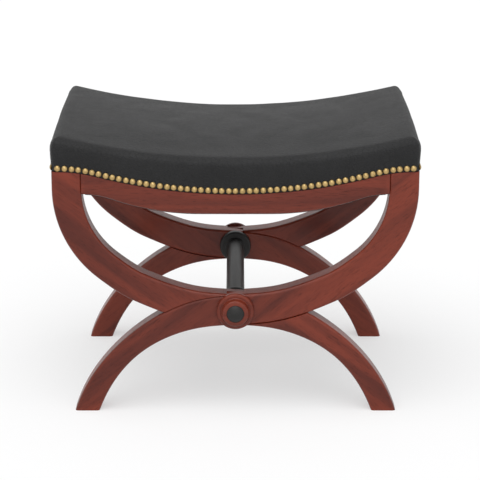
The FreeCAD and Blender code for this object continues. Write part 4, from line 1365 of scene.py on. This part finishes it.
class STOOL_OT_cover_seat(bpy.types.Operator):
    """Pulls the leather over the pad, lets it swell, and folds its corners"""
    bl_idname = "stool.cover_seat"
    bl_label = "Cover the Seat"

    # Leather beyond the seat's plan on each side, for its edge and the nailed side
    DROP = 54 * MM
    # Height of the nailed strip, and how far above it the hold eases to the side's own
    NAILED = 12 * MM
    EASING = 10 * MM
    HELD_AT_SIDE = 0.4
    HELD_ON_TOP = 0.05
    FREE_INSIDE = 90 * MM
    # How upright the leather stands where it is rubbed most, and over how much of that it fades
    RUBBED_AT = 0.45
    RUBBED_FADE = 0.4

    def execute(self, context):
        s = sizes()
        form = SeatForm(droop=s.slack_start)
        grid = SeatGrid(form, 84, 60)
        grid.points = swell(grid, self.pins(grid, form), s.swell_limit)
        skin = mesh_from("leather_skin", grid.points[:grid.skin_points], grid.faces[:grid.skin_faces])
        holder = linked("leather_skin", skin)
        finer = holder.modifiers.new("finer", "SUBSURF")
        finer.levels = 1
        finer.render_levels = 1
        finer.boundary_smooth = "PRESERVE_CORNERS"
        mesh = finished(holder)
        self.shape_by_hand(mesh, form, s)
        mesh = thickened(mesh, s.leather_thickness, offset=-1.0)
        mesh.shade_smooth()
        piece = piece_from(mesh, "leather_seat_cover", "leather", charcoal_leather(), "leather_cover")
        return {"FINISHED"}

    def pins(self, grid, form):
        """Fast below the nails and underneath, half held at the sides, nearly free on top."""
        weights = []
        for index, point in enumerate(grid.points):
            above = point.z - form.hem_height(point.x) - self.NAILED
            if index >= grid.skin_points or above < 0:
                weights.append(1.0)
                continue
            inside = min(form.half_x - abs(point.x), form.half_y - abs(point.y))
            free = min(1.0, inside / self.FREE_INSIDE)
            hold = self.HELD_AT_SIDE + (self.HELD_ON_TOP - self.HELD_AT_SIDE) * free
            weights.append(max(hold, 1.0 - above / self.EASING))
        return weights

    def shape_by_hand(self, mesh, form, s):
        """Adds the hand's unevenness and the corners' folds, and marks where the leather is rubbed."""
        mesh.update()
        rim = []
        normals = [vertex.normal.copy() for vertex in mesh.vertices]
        for vertex, normal in zip(mesh.vertices, normals):
            point = vertex.co.copy()
            upright = 1 - abs(normal.z)
            hem = form.hem_height(point.x)
            past_nails = min(1.0, max(0.0, (point.z - hem) / self.NAILED))
            lift = hand_pull(point, upright, s.hand_seed) * past_nails
            lift += pleat_lift(point, form, s.pleat_height, hem)
            vertex.co = point + normal * lift
            rim.append(max(0.0, 1 - abs(upright - self.RUBBED_AT) / self.RUBBED_FADE))
        write_shares(mesh, "rim", rim)


class STOOL_OT_drive_nails(bpy.types.Operator):
    """Drives the domed nails along the leather on all four sides"""
    bl_idname = "stool.drive_nails"
    bl_label = "Drive Nails"

    ROWS = (
        ("front_nails", (0.0, -1.0, 0.0)),
        ("rear_nails", (0.0, 1.0, 0.0)),
        ("left_nails", (-1.0, 0.0, 0.0)),
        ("right_nails", (1.0, 0.0, 0.0)),
    )

    def execute(self, context):
        s = sizes()
        template = head_template("nail_head", s.nail_head, s.nail_dome, 0.7 * MM)
        drive_rows(self.ROWS, template, s.nail_dome, 0.012, s.hand_seed, "nail_brass", aged_brass())
        return {"FINISHED"}


class STOOL_OT_drive_tacks(bpy.types.Operator):
    """Drives the blued tacks that hold the webbing and the dust cover"""
    bl_idname = "stool.drive_tacks"
    bl_label = "Drive Tacks"

    ROWS = (
        ("webbing_tacks", (0.0, 0.0, 1.0)),
        ("dust_cover_tacks", (0.0, 0.0, -1.0)),
    )

    HEAD = 7 * MM
    HEIGHT = 0.8 * MM

    def execute(self, context):
        material = dull_metal("blued_tacks", (0.05, 0.055, 0.07), 0.4)
        template = head_template("tack_head", self.HEAD, self.HEIGHT, 0.3 * MM)
        drive_rows(self.ROWS, template, self.HEIGHT, 0.02, sizes().hand_seed + 10, "tack_steel", material)
        return {"FINISHED"}


class STOOL_OT_close_underside(bpy.types.Operator):
    """Stretches the black dust cover under the rails, with its edges folded in"""
    bl_idname = "stool.close_underside"
    bl_label = "Close the Underside"

    THICKNESS = 0.6 * MM
    FOLD = 10 * MM
    DOUBLED = 0.5 * MM
    # Room round each leg and arm, where the cloth is notched
    ROOM = 6 * MM
    # Half sizes of the opening between the rails, and how far inside it sag and ripple are full
    OPENING_X = 280 * MM
    OPENING_Y = 183 * MM
    SAG_REACH = 120 * MM
    RIPPLE_REACH = 30 * MM
    RIPPLE = 0.35 * MM

    def execute(self, context):
        material = woven("black_dust_cloth", finish_settings().dust_cloth, 0.9 * MM, 0.12 * MM)
        low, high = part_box("dust_cover")
        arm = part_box("front_seat_rail")[1].x - self.ROOM
        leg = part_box("rear_leg_left")[0].y - self.ROOM
        xs = self.stations(high.x, arm, 74)
        ys = self.stations(high.y, leg, 50)
        probe = Probe("dust_cover")
        points = []
        numbers = {}
        for j, y in enumerate(ys):
            for i, x in enumerate(xs):
                if abs(x) > arm + 0.01 * MM and abs(y) > leg + 0.01 * MM:
                    continue
                height = probe.underside(min(max(x, low.x + 1 * MM), high.x - 1 * MM), 0.0)
                numbers[i, j] = len(points)
                points.append((x, y, height + self.lift(x, y, high)))
        faces = []
        for j in range(len(ys) - 1):
            for i in range(len(xs) - 1):
                corners = [(i, j), (i + 1, j), (i + 1, j + 1), (i, j + 1)]
                if all(corner in numbers for corner in corners):
                    faces.append([numbers[corner] for corner in corners])
        mesh = thickened(mesh_from("dust_cover_flat", points, faces), self.THICKNESS)
        piece = piece_from(mesh, "dust_cover_cloth", "dust_cloth", material, "dust_cover")
        return {"FINISHED"}

    def lift(self, x, y, high):
        """The cloth's height over its stretched plane: lower in its sag and its doubled edge."""
        free = min(self.OPENING_X - abs(x), self.OPENING_Y - abs(y))
        share = max(0.0, min(1.0, free / self.SAG_REACH))
        sag = sizes().dust_sag * math.sin(share * math.pi / 2)
        doubled = self.DOUBLED if min(high.x - abs(x), high.y - abs(y)) < self.FOLD else 0.0
        ripple = self.RIPPLE * noise.noise(Vector((x * 22, y * 22, 5.0)))
        return ripple * min(1.0, max(0.0, free / self.RIPPLE_REACH)) - sag - doubled

    def stations(self, reach, notch, count):
        """Even stations from -reach to reach, with one exactly at each notch and each fold."""
        places = (reach, reach - self.FOLD, notch, notch - self.FOLD)
        marks = sorted({round(sign * place, 6) for place in places for sign in (-1, 1)})
        step = 2 * reach / count
        stations = []
        for here, following in zip(marks, marks[1:]):
            parts = max(1, round((following - here) / step))
            stations += [here + (following - here) * n / parts for n in range(parts)]
        return stations + [marks[-1]]


# Sidebar

class STOOL_PT_dressing(bpy.types.Panel):
    """Lists the stool's sizes, finishes and steps"""
    bl_idname = "STOOL_PT_dressing"
    bl_label = "X Frame Stool"
    bl_space_type = "VIEW_3D"
    bl_region_type = "UI"
    bl_category = "Stool"

    def draw(self, context):
        layout = self.layout
        for operator in STEPS:
            layout.operator(operator.bl_idname)
        for group_name in GROUPS:
            group = getattr(context.scene, group_name)
            box = layout.box()
            for name in group.__annotations__:
                box.prop(group, name)


STEPS = (
    STOOL_OT_set_stage,
    STOOL_OT_polish_frame,
    STOOL_OT_turn_bosses,
    STOOL_OT_turn_stretcher,
    STOOL_OT_glue_blocks,
    STOOL_OT_lace_webbing,
    STOOL_OT_lay_hessian,
    STOOL_OT_pad_seat,
    STOOL_OT_cover_seat,
    STOOL_OT_drive_nails,
    STOOL_OT_drive_tacks,
    STOOL_OT_close_underside,
)
GROUPS = {"stool_sizes": StoolSizes, "stool_finish": StoolFinish, "stool_stage": StoolStage}
CLASSES = (*GROUPS.values(), *STEPS, STOOL_PT_dressing)


def register():
    for item in CLASSES:
        bpy.utils.register_class(item)
    for name, group in GROUPS.items():
        setattr(bpy.types.Scene, name, PointerProperty(type=group))


def unregister():
    for name in GROUPS:
        delattr(bpy.types.Scene, name)
    for item in reversed(CLASSES):
        bpy.utils.unregister_class(item)


def main():
    register()
    for step in STEPS:
        group, name = step.bl_idname.split(".")
        getattr(getattr(bpy.ops, group), name)()


if __name__ == "__main__":
    main()
